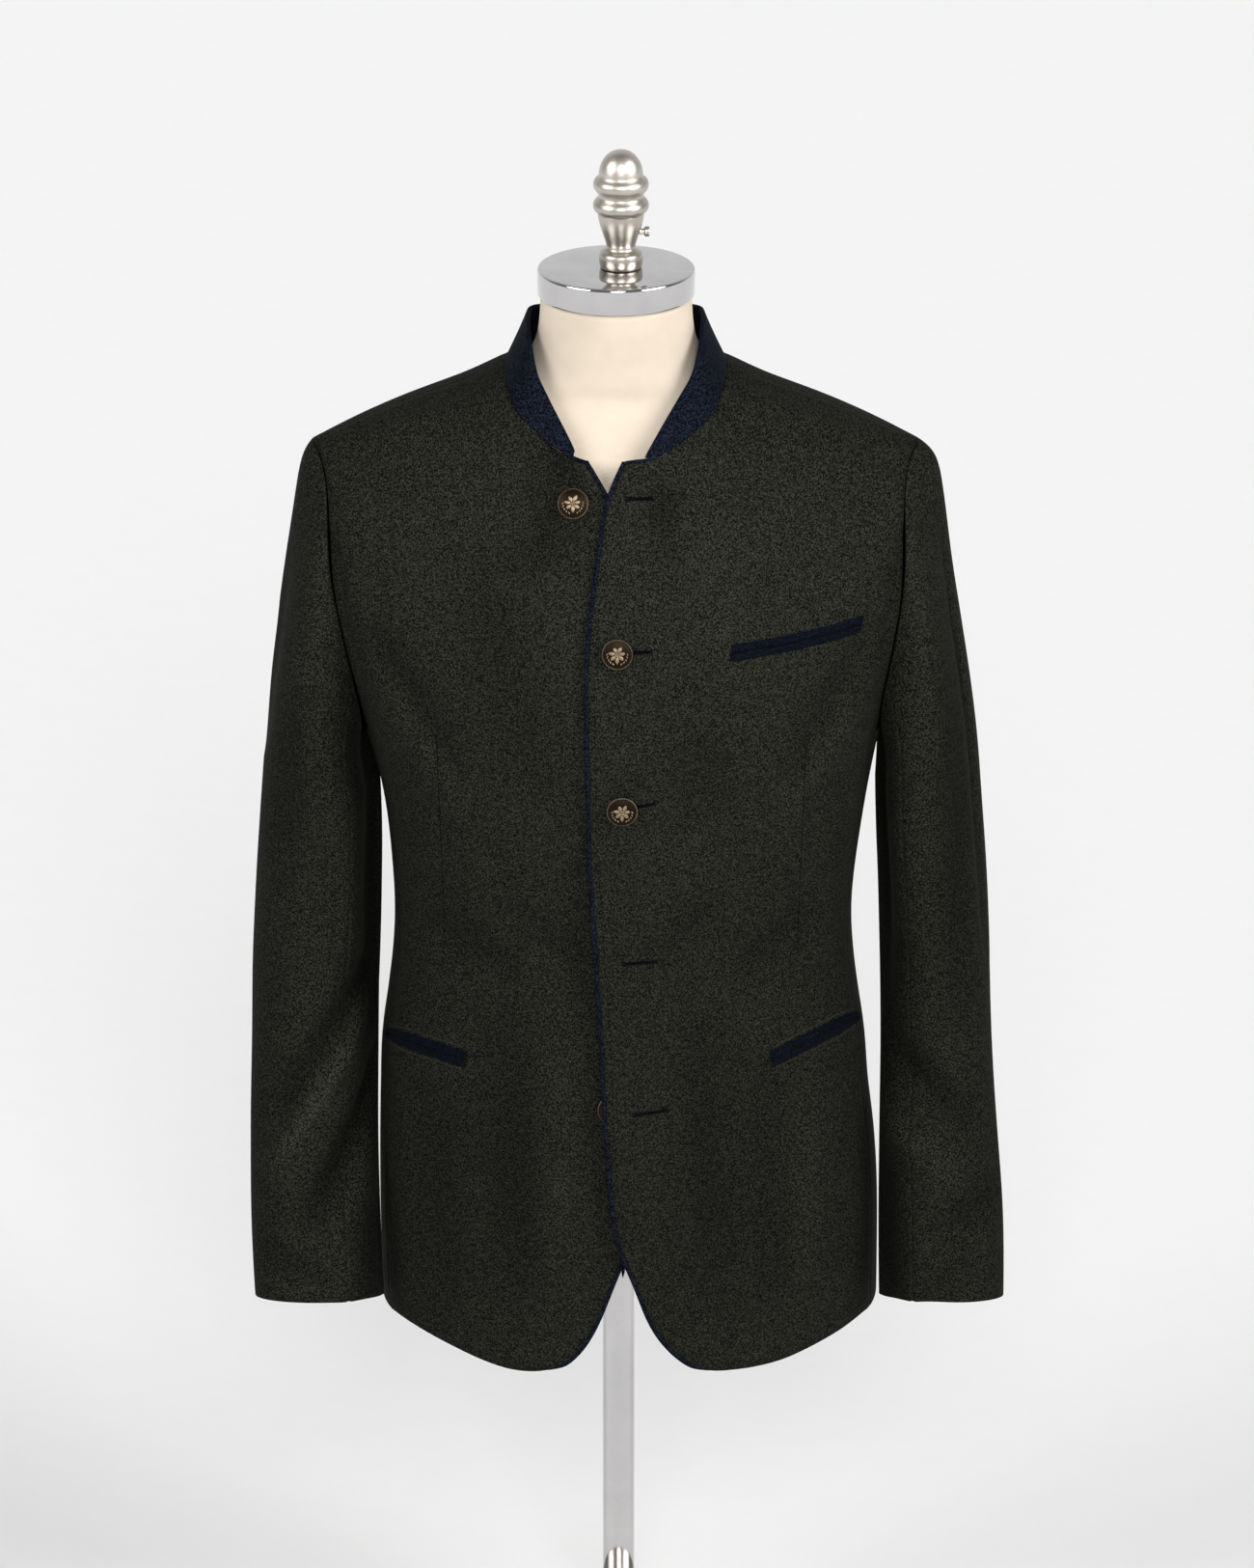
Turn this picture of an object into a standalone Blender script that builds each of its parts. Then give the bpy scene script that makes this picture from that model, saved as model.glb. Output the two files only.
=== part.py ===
"""A tyrolean loden jacket with a stand collar, worn by a limbless dress form.

Metres, +Z up, -Y is the front, +X is the wearer's left. The origin is the middle of the
base's underside. Heights in the tables are measured up from the jacket's side hem, which
hangs HEM above the floor. Every cloth piece is a wall between an outer grid of points and
the same grid moved inwards, and neighbouring pieces stop SEAM apart.
"""
import math

import bmesh
import bpy
import numpy as np

# ---------------------------------------------------------------- driving sizes
HEM = 0.315                 # side hem above the floor
CHEST = 0.440               # armhole bottom above the side hem
CLOTH = 0.002               # loden wall
FELT = 0.0022               # collar wall
SEAM = 0.0003               # gap between neighbouring pieces
SECTION_POWER = 2.4         # how square the body's horizontal sections are
FRONT_CROWN = 2.15          # how square the upright sections are over the chest
BACK_CROWN = 2.50           # the same over the shoulder blades

ARM_STEPS = 12              # equal turns down half an armhole
ARM_PLACES = (0, 0.5, *range(1, ARM_STEPS + 1))     # the turns that carry points
SIDE_STEPS = 2              # turns at the bottom, which the side panel meets
ARM_TOP = 0.222             # shoulder point's distance from the middle
ARM_MIDDLE = 0.5533         # armhole middle above the side hem
ARM_HALF = 0.1133           # half the armhole's height
ARM_DEPTH = 0.063           # armhole depth before and behind the side line
ARM_GAP = 0.0005            # sleeve head to armhole edge
SLEEVE_END = 0.016          # cuff's middle above the side hem

COLLAR_LEAN = math.radians(27)          # inward lean at the front and sides
COLLAR_BACK_LEAN = math.radians(8)      # and behind the neck
COLLAR_ENDS = {-1: -0.0345, 1: 0.0235}     # X of its front ends
COLLAR_END_STEP = 0.004     # shortest step from an end to the next neckline point
COLLAR_GAP = 0.0009         # collar to neckline edge
PIPING_RADIUS = 0.0013
BUTTON_RADIUS = 0.012
BUTTON_HEIGHT = 0.0068


class Table:
    """Rows of named columns, read between rows along a smooth curve."""

    def __init__(self, names, rows):
        self.names = names.split()
        self.rows = np.array(rows, dtype=float)

    def at(self, name, value):
        """The named column where the first column has this value."""
        knots = self.rows[:, 0]
        data = self.rows[:, self.names.index(name)]
        value = min(max(value, knots[0]), knots[-1])
        i = min(int(np.searchsorted(knots, value, side="right")) - 1, len(knots) - 2)
        step = np.diff(knots)
        slope = np.diff(data) / step
        tangent = np.empty(len(knots))
        tangent[0] = slope[0]
        tangent[-1] = slope[-1]
        weight = step[:-1] / (step[:-1] + step[1:])
        tangent[1:-1] = weight * slope[:-1] + (1 - weight) * slope[1:]
        tangent[1:-1][slope[:-1] * slope[1:] <= 0] = 0
        t = (value - knots[i]) / step[i]
        start = data[i] * (1 + 2 * t) * (1 - t) ** 2 + tangent[i] * step[i] * t * (1 - t) ** 2
        end = data[i + 1] * t * t * (3 - 2 * t) + tangent[i + 1] * step[i] * t * t * (t - 1)
        return start + end


# Body sections: half width, depths in front and behind, the middle's shift to +X
BODY = Table("height width front back shift", [
    (-0.060, 0.1850, 0.133, 0.118, 0.0095),
    (0.000, 0.1850, 0.133, 0.118, 0.0090),
    (0.060, 0.1856, 0.133, 0.119, 0.0086),
    (0.120, 0.1845, 0.132, 0.117, 0.0074),
    (0.165, 0.1815, 0.130, 0.113, 0.005),
    (0.211, 0.1790, 0.127, 0.107, 0.004),
    (0.250, 0.1735, 0.124, 0.102, 0.0035),
    (0.300, 0.1695, 0.123, 0.099, 0.0035),
    (0.340, 0.1715, 0.125, 0.101, 0.004),
    (0.394, 0.1780, 0.131, 0.108, 0.005),
    (0.440, 0.1870, 0.135, 0.116, 0.004),
    (0.480, 0.2000, 0.136, 0.120, 0.002),
    (0.520, 0.2150, 0.136, 0.121, 0.001),
    (0.565, 0.2300, 0.136, 0.121, 0.000),
    (0.600, 0.2380, 0.136, 0.121, -0.001),
    (0.660, 0.2400, 0.136, 0.121, -0.002),
    (0.760, 0.2400, 0.136, 0.121, -0.002),
])

# Shoulder line, from the middle outwards
SHOULDER = Table("across height", [
    (0.000, 0.7460),
    (0.060, 0.7370),
    (0.084, 0.7265),
    (0.110, 0.7140),
    (0.145, 0.7010),
    (0.180, 0.6865),
    (0.222, 0.6666),
    (0.250, 0.6520),
])

# Neckline seam, from the middle outwards to the shoulder line
NECKLINE = Table("across front back", [
    (0.000, 0.6780, 0.7205),
    (0.025, 0.6795, 0.7208),
    (0.036, 0.6840, 0.7212),
    (0.049, 0.6910, 0.7218),
    (0.064, 0.7015, 0.7228),
    (0.076, 0.7125, 0.7250),
    (0.081, 0.7282, 0.7282),
])
NECK_WIDTH = 0.081          # neckline's half width, where it meets the shoulder line
NECK_CORNER = {1: 0.0064, -1: -0.0250}     # X of each front's top corner

# Front edges: the left front lies on the right front, whose edge is hidden from 0.1 to 0.6
EDGE = Table("height left right", [
    (0.0760, 0.0039, 0.0036),
    (0.0900, 0.0008, 0.0070),
    (0.1220, -0.0032, 0.0130),
    (0.1900, -0.0082, 0.0175),
    (0.2340, -0.0099, 0.0195),
    (0.3050, -0.0141, 0.0210),
    (0.3800, -0.0186, 0.0230),
    (0.4700, -0.0209, 0.0250),
    (0.5160, -0.0216, 0.0250),
    (0.5600, -0.0194, 0.0220),
    (0.6060, -0.0138, 0.0100),
    (0.6505, -0.0068, -0.0070),
    (0.6655, -0.0005, -0.0160),
    (0.6790, 0.0064, -0.0250),
])
EDGE_BOTTOM = 0.0760

# Hem, by distance from the front edge's bottom: rounded front corners, level sides
HEMLINE = Table("along left right", [
    (0.000, 0.0760, 0.0760),
    (0.006, 0.0585, 0.0605),
    (0.015, 0.0350, 0.0350),
    (0.028, 0.0122, 0.0075),
    (0.043, -0.0045, -0.0098),
    (0.060, -0.0150, -0.0172),
    (0.080, -0.0171, -0.0182),
    (0.100, -0.0162, -0.0150),
    (0.120, -0.0134, -0.0093),
    (0.140, -0.0081, -0.0037),
    (0.160, -0.0030, 0.0004),
    (0.180, 0.0008, 0.0008),
    (0.240, 0.0000, 0.0000),
])
PIPING_STOP = 0.070         # how far along the hem the edge piping runs

# Side panel seams, as angles round the body from centre front
SIDE_SEAMS = Table("height front back", [
    (-0.020, 74.0, 108.0),
    (0.120, 74.5, 108.5),
    (0.300, 76.0, 110.0),
    (0.455, 79.0, 104.0),
])

# How far each front stands off the body's surface at its edge
OVERLAP = Table("height left right", [
    (-0.020, 0.0025, -0.0030),
    (0.076, 0.0035, -0.0035),
    (0.130, 0.0060, -0.0035),
    (0.190, 0.0072, -0.0035),
    (0.310, 0.0072, -0.0035),
    (0.370, 0.0040, -0.0035),
    (0.430, 0.0005, -0.0034),
    (0.640, 0.0000, -0.0034),
    (0.680, 0.0000, -0.0030),
])
OVERLAP_FULL = 0.030        # distance from the middle where the stand-off is whole
OVERLAP_NONE = 0.075        # and where it has faded away

# Soft folds in the body: X, where it is deepest, its reach up and across, its depth
FOLDS = Table("x height reach across depth", [
    (-0.131, 0.360, 0.110, 0.010, 0.0016),
    (-0.095, 0.180, 0.120, 0.030, 0.0018),
    (-0.060, 0.330, 0.100, 0.022, 0.0010),
    (0.070, 0.300, 0.110, 0.024, 0.0014),
    (0.100, 0.150, 0.110, 0.028, 0.0018),
    (0.136, 0.355, 0.110, 0.010, 0.0016),
])
BACK_FOLDS = Table("x height reach across depth", [
    (-0.120, 0.230, 0.120, 0.024, 0.0022),
    (-0.055, 0.420, 0.120, 0.026, 0.0016),
    (0.050, 0.300, 0.110, 0.022, 0.0020),
    (0.115, 0.400, 0.130, 0.026, 0.0018),
])

# Sleeve tubes: distances of the outer and inner line from X = 0, middle Y, half depth, tilt
SLEEVE = {
    1: Table("height outer inner middle depth tilt", [
        (0.016, 0.2878, 0.1950, -0.060, 0.0430, 14),
        (0.070, 0.2875, 0.1945, -0.046, 0.0450, 14),
        (0.140, 0.2830, 0.1950, -0.028, 0.0490, 13),
        (0.200, 0.2785, 0.1957, -0.013, 0.0530, 10),
        (0.260, 0.2765, 0.1950, -0.002, 0.0570, 5),
        (0.330, 0.2730, 0.1930, 0.004, 0.0620, 0),
        (0.400, 0.2675, 0.1905, 0.004, 0.0670, 0),
        (0.440, 0.2642, 0.1925, 0.002, 0.0690, 0),
        (0.500, 0.2565, 0.1930, 0.000, 0.0700, 0),
        (0.560, 0.2472, 0.1940, 0.000, 0.0660, 0),
        (0.590, 0.2430, 0.1950, 0.000, 0.0600, 0),
        (0.620, 0.2395, 0.1970, 0.000, 0.0500, 0),
        (0.649, 0.2345, 0.2000, 0.000, 0.0320, 0),
        (0.6600, 0.2285, 0.2020, 0.000, 0.0180, 0),
        (0.6666, 0.2200, 0.2030, 0.000, 0.0040, 0),
    ]),
    -1: Table("height outer inner middle depth tilt", [
        (0.016, 0.2715, 0.1765, -0.060, 0.0430, 14),
        (0.070, 0.2742, 0.1790, -0.046, 0.0450, 14),
        (0.140, 0.2745, 0.1805, -0.028, 0.0490, 13),
        (0.200, 0.2740, 0.1798, -0.013, 0.0530, 10),
        (0.260, 0.2725, 0.1780, -0.002, 0.0570, 5),
        (0.330, 0.2690, 0.1760, 0.004, 0.0620, 0),
        (0.400, 0.2640, 0.1765, 0.004, 0.0670, 0),
        (0.440, 0.2610, 0.1845, 0.002, 0.0690, 0),
        (0.500, 0.2560, 0.1870, 0.000, 0.0700, 0),
        (0.560, 0.2470, 0.1920, 0.000, 0.0660, 0),
        (0.590, 0.2430, 0.1950, 0.000, 0.0600, 0),
        (0.620, 0.2375, 0.1980, 0.000, 0.0500, 0),
        (0.649, 0.2330, 0.2020, 0.000, 0.0320, 0),
        (0.6600, 0.2285, 0.2040, 0.000, 0.0180, 0),
        (0.6666, 0.2240, 0.2050, 0.000, 0.0040, 0),
    ]),
}
SLEEVE_HEAD_ROWS = (0, 0.04, 0.11, 0.21, 0.34, 0.5, 0.68, 0.85, 1)
SLEEVE_HEAD_END = 0.400     # height where the sleeve is a plain tube
SLEEVE_TUBE_ROWS = 11
SLEEVE_SEAM_PLACE = 8       # turn from the top at which both sleeve seams start

# Creases round the elbows: side, angle round the sleeve from outside, height, tilt, depth
CREASES = Table("side angle height slope depth", [
    (-1, 50, 0.165, -0.30, 0.0030),
    (-1, 20, 0.215, 0.25, 0.0018),
    (-1, 250, 0.240, 0.20, 0.0020),
    (1, 60, 0.180, 0.25, 0.0030),
    (1, 40, 0.130, -0.20, 0.0022),
    (1, 250, 0.230, -0.20, 0.0020),
])
CREASE_HEIGHT = 0.014       # half width of a crease
CREASE_ANGLE = 45           # half reach of a crease round the sleeve, in degrees

# Collar height, by distance along the neckline from a front end
COLLAR = Table("along height", [
    (0.000, 0.0060),
    (0.010, 0.0150),
    (0.025, 0.0240),
    (0.045, 0.0300),
    (0.080, 0.0335),
    (0.160, 0.0350),
    (0.260, 0.0360),
])

# Pockets: the start of each mouth as X and height, and its end as that or as an angle and a drop
POCKETS = {
    "pocket_right": dict(side=-1, start=(-0.1145, 0.2205), end_angle=-80, drop=0.0075),
    "pocket_left": dict(side=1, start=(0.1150, 0.2225), end_angle=80, drop=-0.004),
    "pocket_chest": dict(side=1, start=(0.0830, 0.5450), end=(0.1765, 0.5553)),
}
BAND_HEIGHT = 0.0062        # one of the two bands round a pocket's mouth
BAND_THICK = 0.0013
BAND_STEPS = 10
ON_PANEL = 0.0004           # gap under what lies on a panel

# Buttons: X, height, and the front each is sewn to or lies on
BUTTONS = (
    ("button_1", -0.0327, 0.6515, -1),
    ("button_2", -0.0006, 0.5463, 1),
    ("button_3", 0.0029, 0.4278, 1),
    ("button_4", 0.0010, 0.3072, -1),
    ("button_5", -0.0040, 0.1900, -1),
)

# Dress form: half width, depths in front and behind
FORM = Table("height width front back", [
    (0.0750, 0.1400, 0.1000, 0.0900),
    (0.0780, 0.1480, 0.1060, 0.0960),
    (0.0900, 0.1540, 0.1110, 0.1000),
    (0.1400, 0.1580, 0.1120, 0.0990),
    (0.2200, 0.1510, 0.1060, 0.0900),
    (0.3000, 0.1460, 0.1030, 0.0830),
    (0.3700, 0.1530, 0.1080, 0.0880),
    (0.4400, 0.1660, 0.1160, 0.0980),
    (0.5000, 0.1780, 0.1180, 0.1030),
    (0.5600, 0.1890, 0.1120, 0.1010),
    (0.6100, 0.1970, 0.1030, 0.0950),
    (0.6450, 0.2000, 0.0910, 0.0870),
    (0.6640, 0.1985, 0.0825, 0.0800),
    (0.6740, 0.1925, 0.0780, 0.0740),
    (0.6820, 0.1760, 0.0730, 0.0680),
    (0.6920, 0.1570, 0.0665, 0.0600),
    (0.7020, 0.1325, 0.0620, 0.0530),
    (0.7110, 0.1075, 0.0575, 0.0495),
    (0.7180, 0.0900, 0.0565, 0.0480),
    (0.7250, 0.0755, 0.0575, 0.0480),
    (0.7330, 0.0660, 0.0578, 0.0484),
    (0.7450, 0.0592, 0.0588, 0.0486),
    (0.7600, 0.0562, 0.0600, 0.0488),
    (0.7812, 0.0550, 0.0610, 0.0490),
])
FORM_STEPS = 32
HIP_SQUARENESS = 0.3        # how much squarer than an ellipse the rings are below the chest
CHEST_FROM = 0.50           # height where the rings start to turn into ellipses
CHEST_RISE = 0.12
NECK_X = -0.0015            # middle of the neck and its cap
NECK_Y = -0.0060
NECK_FROM = 0.55            # height where the rings start to move to the neck's middle
NECK_RISE = 0.10
CAP_RADIUS = 0.0575
CAP_BOTTOM = 0.7815
CAP_TOP = 0.8015
POLE_RADIUS = 0.012
BASE_RADIUS = 0.150
BASE_THICK = 0.014
BOSS_RADIUS = 0.026
BOSS_TOP = 0.034

# Finial profile: height above the cap, radius
FINIAL = (
    (0.0885, 0.0000), (0.0878, 0.0050), (0.0850, 0.0100), (0.0790, 0.0145), (0.0715, 0.0162),
    (0.0690, 0.0165), (0.0670, 0.0190), (0.0635, 0.0204), (0.0600, 0.0200), (0.0570, 0.0175),
    (0.0545, 0.0165), (0.0520, 0.0180), (0.0490, 0.0203), (0.0460, 0.0206), (0.0430, 0.0190),
    (0.0415, 0.0168), (0.0370, 0.0166), (0.0300, 0.0148), (0.0230, 0.0124), (0.0175, 0.0106),
    (0.0145, 0.0110), (0.0128, 0.0135), (0.0115, 0.0154), (0.0080, 0.0160), (0.0030, 0.0158),
    (0.0003, 0.0150), (0.0003, 0.0000),
)
FINIAL_X = 0.0020           # middle of the finial
SCREW_X = 0.0152            # its side screw, from its middle
SCREW_Z = 0.0270            # and above the cap


# ---------------------------------------------------------------- the body's surface
def crown(across, height, power):
    """Share of the full depth left at this height, from 1 at the chest to 0 on the shoulder."""
    top = SHOULDER.at("height", abs(across))
    share = min(max((height - CHEST) / (top - CHEST), 0.0), 1.0)
    return (1 - share ** power) ** (1 / power)


def body_point(angle, height):
    """Point of the jacket's outer surface; angle runs from 0 at centre front to pi behind."""
    width = BODY.at("width", height)
    front = math.cos(angle) > 0
    depth = BODY.at("front" if front else "back", height)
    power = 2 / SECTION_POWER
    across = math.copysign(abs(math.sin(angle)) ** power, math.sin(angle)) * width
    away = abs(math.cos(angle)) ** power * depth
    away *= crown(across, height, FRONT_CROWN if front else BACK_CROWN)
    return np.array([across + BODY.at("shift", height), -away if front else away, HEM + height])


def unit(vector):
    """The vector at length one."""
    return vector / np.linalg.norm(vector)


def body_normal(angle, height):
    """Outward direction of the jacket's surface at a point."""
    turn = 0.004
    rise = 0.0006
    point = body_point(angle, height)
    across = point[0] - BODY.at("shift", height)
    top = SHOULDER.at("height", abs(across))
    if top - height < 0.001:
        slope = SHOULDER.at("height", abs(across) + 0.004) - SHOULDER.at("height", abs(across) - 0.004)
        return unit(np.array([-slope / 0.008 * math.copysign(1, across), 0.0, 1.0]))
    above = min(height + rise, top - 0.0002)
    round_body = body_point(angle + turn, height) - body_point(angle - turn, height)
    up_body = body_point(angle, above) - body_point(angle, height - rise)
    normal = unit(np.cross(round_body, up_body))
    return normal


def angle_at(x, height, front=True):
    """Angle of the surface point with this X at this height."""
    across = x - BODY.at("shift", height)
    share = min(abs(across) / BODY.at("width", height), 1.0)
    angle = math.asin(share ** (SECTION_POWER / 2))
    if not front:
        angle = math.pi - angle
    return math.copysign(angle, across)


def armhole(side, step, front):
    """Angle and height of a point of the armhole's edge, counted down from the shoulder."""
    turn = math.pi * step / ARM_STEPS
    height = ARM_MIDDLE + ARM_HALF * math.cos(turn)
    width = BODY.at("width", height)
    if step == 0:
        high = ARM_TOP
    elif step == ARM_STEPS:
        high = width
    else:
        depth = ARM_DEPTH * math.sin(turn) ** 0.9
        low = 0.0
        high = width
        for _ in range(40):
            middle = (low + high) / 2
            angle = math.asin((middle / width) ** (SECTION_POWER / 2))
            point = body_point(angle if front else math.pi - angle, height)
            if abs(point[1]) > depth:
                low = middle
            else:
                high = middle
    angle = math.asin(min(high / width, 1.0) ** (SECTION_POWER / 2))
    return side * (angle if front else math.pi - angle), height


def smooth(value):
    """Soft step from 0 to 1."""
    value = min(max(value, 0.0), 1.0)
    return value * value * (3 - 2 * value)


def fold_depth(table, x, height):
    """How far the soft folds of a table sink the surface at a point."""
    total = 0.0
    for fold_x, fold_height, reach, across, depth in table.rows:
        far = ((x - fold_x) / across) ** 2 + ((height - fold_height) / reach) ** 2
        total += depth * math.exp(-far)
    return total


def stand_off(side, angle, height):
    """Distance of a front's or back's outer face from the body's surface."""
    x = body_point(angle, height)[0]
    if math.cos(angle) <= 0:
        return -fold_depth(BACK_FOLDS, x, height)
    name = "left" if side > 0 else "right"
    middle = BODY.at("shift", height)
    fade = smooth((OVERLAP_NONE - abs(x - middle)) / (OVERLAP_NONE - OVERLAP_FULL))
    return OVERLAP.at(name, height) * fade - fold_depth(FOLDS, x, height)


def cloth_point(side, angle, height, out=0.0):
    """Point of a body panel's outer face, moved outwards by a distance."""
    normal = body_normal(angle, height)
    return body_point(angle, height) + normal * (stand_off(side, angle, height) + out)


# ---------------------------------------------------------------- mesh helpers
def material(name, colour, roughness, metallic=0.0):
    """One Principled material."""
    made = bpy.data.materials.get(name) or bpy.data.materials.new(name)
    made.use_nodes = True
    shader = made.node_tree.nodes["Principled BSDF"]
    shader.inputs["Base Color"].default_value = (*colour, 1.0)
    shader.inputs["Roughness"].default_value = roughness
    shader.inputs["Metallic"].default_value = metallic
    return made


LODEN = dict(colour=(0.030, 0.031, 0.022), roughness=0.9)
NAVY = dict(colour=(0.008, 0.014, 0.040), roughness=0.9)
BRASS = dict(colour=(0.20, 0.13, 0.065), roughness=0.38, metallic=1.0)
LINEN = dict(colour=(0.62, 0.50, 0.36), roughness=0.85)
CHROME = dict(colour=(0.62, 0.63, 0.65), roughness=0.08, metallic=1.0)
NICKEL = dict(colour=(0.36, 0.33, 0.29), roughness=0.32, metallic=1.0)


def add_object(name, mesh, finish):
    """Link a mesh as a named part with its own material."""
    made = bpy.data.objects.new(name, mesh)
    PARTS.objects.link(made)
    mesh.materials.append(material(name + "_finish", **finish))
    return made


def finish_mesh(name, build, finish):
    """Turn a closed bmesh's faces outwards and add it as a part."""
    bmesh.ops.recalc_face_normals(build, faces=build.faces)
    if build.calc_volume(signed=True) < 0:
        bmesh.ops.reverse_faces(build, faces=build.faces)
    mesh = bpy.data.meshes.new(name)
    build.to_mesh(mesh)
    build.free()
    mesh.shade_smooth()
    mesh.set_sharp_from_angle(angle=math.radians(50))
    return add_object(name, mesh, finish)


def shell(name, outer, inner, finish, closed=False):
    """A closed wall between two grids of points, open or joined into a tube round."""
    rows, columns = outer.shape[:2]
    build = bmesh.new()
    faces = []
    sheets = []
    for grid in (outer, inner):
        sheets.append([[build.verts.new(grid[r, c]) for c in range(columns)] for r in range(rows)])
    wrap = columns if closed else columns - 1
    for sheet in sheets:
        for r in range(rows - 1):
            for c in range(wrap):
                d = (c + 1) % columns
                faces.append((sheet[r][c], sheet[r][d], sheet[r + 1][d]))
                faces.append((sheet[r][c], sheet[r + 1][d], sheet[r + 1][c]))
    rims = [[(r, c) for c in range(columns)] for r in (0, rows - 1)]
    if not closed:
        rims += [[(r, c) for r in range(rows)] for c in (0, columns - 1)]
    for rim in rims:
        pairs = list(zip(rim, rim[1:]))
        if closed:
            pairs.append((rim[-1], rim[0]))
        for (r, c), (s, d) in pairs:
            faces.append((sheets[0][r][c], sheets[0][s][d], sheets[1][s][d]))
            faces.append((sheets[0][r][c], sheets[1][s][d], sheets[1][r][c]))
    for face in faces:
        build.faces.new(face)
    return finish_mesh(name, build, finish)


def patch(left, right, bottom, top):
    """Grid of (angle, height) between four boundary lines, rows running up."""
    rows = len(left)
    columns = len(bottom)
    grid = np.empty((rows, columns, 2))
    for r in range(rows):
        v = r / (rows - 1)
        for c in range(columns):
            u = c / (columns - 1)
            sides = (1 - u) * left[r] + u * right[r]
            ends = (1 - v) * bottom[c] + v * top[c]
            corners = ((1 - u) * (1 - v) * bottom[0] + u * (1 - v) * bottom[-1]
                       + (1 - u) * v * top[0] + u * v * top[-1])
            grid[r, c] = sides + ends - corners
    return grid


def seam_shift(angle, height, distance):
    """The angle moved round the body by a distance."""
    turn = 0.003
    speed = np.linalg.norm(body_point(angle + turn, height) - body_point(angle - turn, height))
    return angle + distance * 2 * turn / speed


def shifted(line, distance):
    """A line of (angle, height) moved round the body by a distance."""
    return np.array([(seam_shift(a, h, distance), h) for a, h in line])


def panel(name, side, grid, finish):
    """A body panel's wall on a grid of (angle, height)."""
    outer = np.empty((*grid.shape[:2], 3))
    inner = np.empty_like(outer)
    for r, row in enumerate(grid):
        for c, (angle, height) in enumerate(row):
            normal = body_normal(angle, height)
            point = cloth_point(side, angle, height)
            if abs(normal[1]) < 1e-9:
                point[1] += math.copysign(SEAM / 2, -math.cos(angle))
            outer[r, c] = point
            inner[r, c] = point - normal * CLOTH
    return shell(name, outer, inner, finish)


# ---------------------------------------------------------------- jacket body
SEAM_ROWS = 13              # rows up the side seams
MIDDLE_ROW = 0.470          # height, on the centre line, of the row at the side seams' top
FRONT_COLUMNS = 16
FRONT_NECK_COLUMNS = 6
BACK_COLUMNS = 11
BACK_NECK_COLUMNS = 5
SIDE_COLUMNS = 4


def hem_height(side, along):
    """Height of the hem this far from a front's edge."""
    return HEMLINE.at("left" if side > 0 else "right", along)


def side_seam(side, name, front):
    """A side seam from the hem up to the armhole, then the armhole up to the shoulder."""
    last = ARM_STEPS - SIDE_STEPS
    top_angle, top = armhole(side, last, front)
    line = []
    for row in range(SEAM_ROWS):
        height = top * row / SEAM_ROWS
        angle = side * math.radians(SIDE_SEAMS.at(name, height))
        blend = smooth((height - 0.30) / (top - 0.30))
        line.append((angle + (top_angle - angle) * blend, height))
    hole = [armhole(side, step, front) for step in ARM_PLACES[::-1] if step <= last]
    return np.array(line), np.array(hole)


def middle_heights(right, bottom, middle, top):
    """Heights up a panel's centre line, spaced as on its side seam and armhole."""
    low = np.linspace(bottom, middle, SEAM_ROWS + 1)[:-1]
    hole = right[SEAM_ROWS:, 1]
    return np.concatenate([low, middle + (top - middle) * (hole - hole[0]) / (hole[-1] - hole[0])])


def edge_x(side, height):
    """X of a front's edge."""
    return EDGE.at("left" if side > 0 else "right", height)


def front_neck(side):
    """Distances from the middle of a front's neckline points, from its corner outwards."""
    corner = side * (NECK_CORNER[side] - BODY.at("shift", NECKLINE.at("front", 0)))
    shares = [math.sin(c / FRONT_NECK_COLUMNS * math.pi / 2) for c in range(FRONT_NECK_COLUMNS + 1)]
    return [corner + (NECK_WIDTH - corner) * share for share in shares]


def back_neck():
    """Distances from the middle of the back neckline's points."""
    return [NECK_WIDTH * math.sin(c / BACK_NECK_COLUMNS * math.pi / 2)
            for c in range(BACK_NECK_COLUMNS + 1)]


def neck_place(side, across, front):
    """Angle and height of a point of the neckline seam."""
    height = NECKLINE.at("front" if front else "back", abs(across))
    return angle_at(side * across + BODY.at("shift", height), height, front), height


def front_panel(side):
    """One front: edge, rounded corner, hem, side seam, armhole, shoulder and neckline."""
    seam, hole = side_seam(side, "front", True)
    right = np.vstack([shifted(seam, -side * SEAM / 2), hole])
    right[SEAM_ROWS] = shifted(right[SEAM_ROWS:SEAM_ROWS + 1], -side * SEAM / 2)[0]
    neck = NECKLINE.at("front", abs(NECK_CORNER[side]))
    heights = middle_heights(right, EDGE_BOTTOM, MIDDLE_ROW, neck)
    left = np.array([(angle_at(edge_x(side, height), height), height) for height in heights])
    bottom = []
    start = edge_x(side, EDGE_BOTTOM)
    for column in range(FRONT_COLUMNS + 1):
        share = (column / FRONT_COLUMNS) ** 1.35
        angle = left[0][0] + (right[0][0] - left[0][0]) * share
        along = abs(body_point(angle, 0.0)[0] - start)
        bottom.append((angle, hem_height(side, along)))
    bottom[0] = tuple(left[0])
    bottom[-1] = tuple(right[0])
    top = [neck_place(side, across, True) for across in front_neck(side)[:-1]]
    top[0] = tuple(left[-1])
    for column in range(FRONT_NECK_COLUMNS, FRONT_COLUMNS + 1):
        share = (column - FRONT_NECK_COLUMNS) / (FRONT_COLUMNS - FRONT_NECK_COLUMNS)
        across = NECK_WIDTH + (ARM_TOP - NECK_WIDTH) * share
        height = SHOULDER.at("height", across)
        top.append((angle_at(side * across + BODY.at("shift", height), height), height))
    top[-1] = tuple(right[-1])
    grid = patch(left, right, np.array(bottom), np.array(top))
    name = "front_left" if side > 0 else "front_right"
    panel(name, side, grid, LODEN)
    return grid


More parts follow.
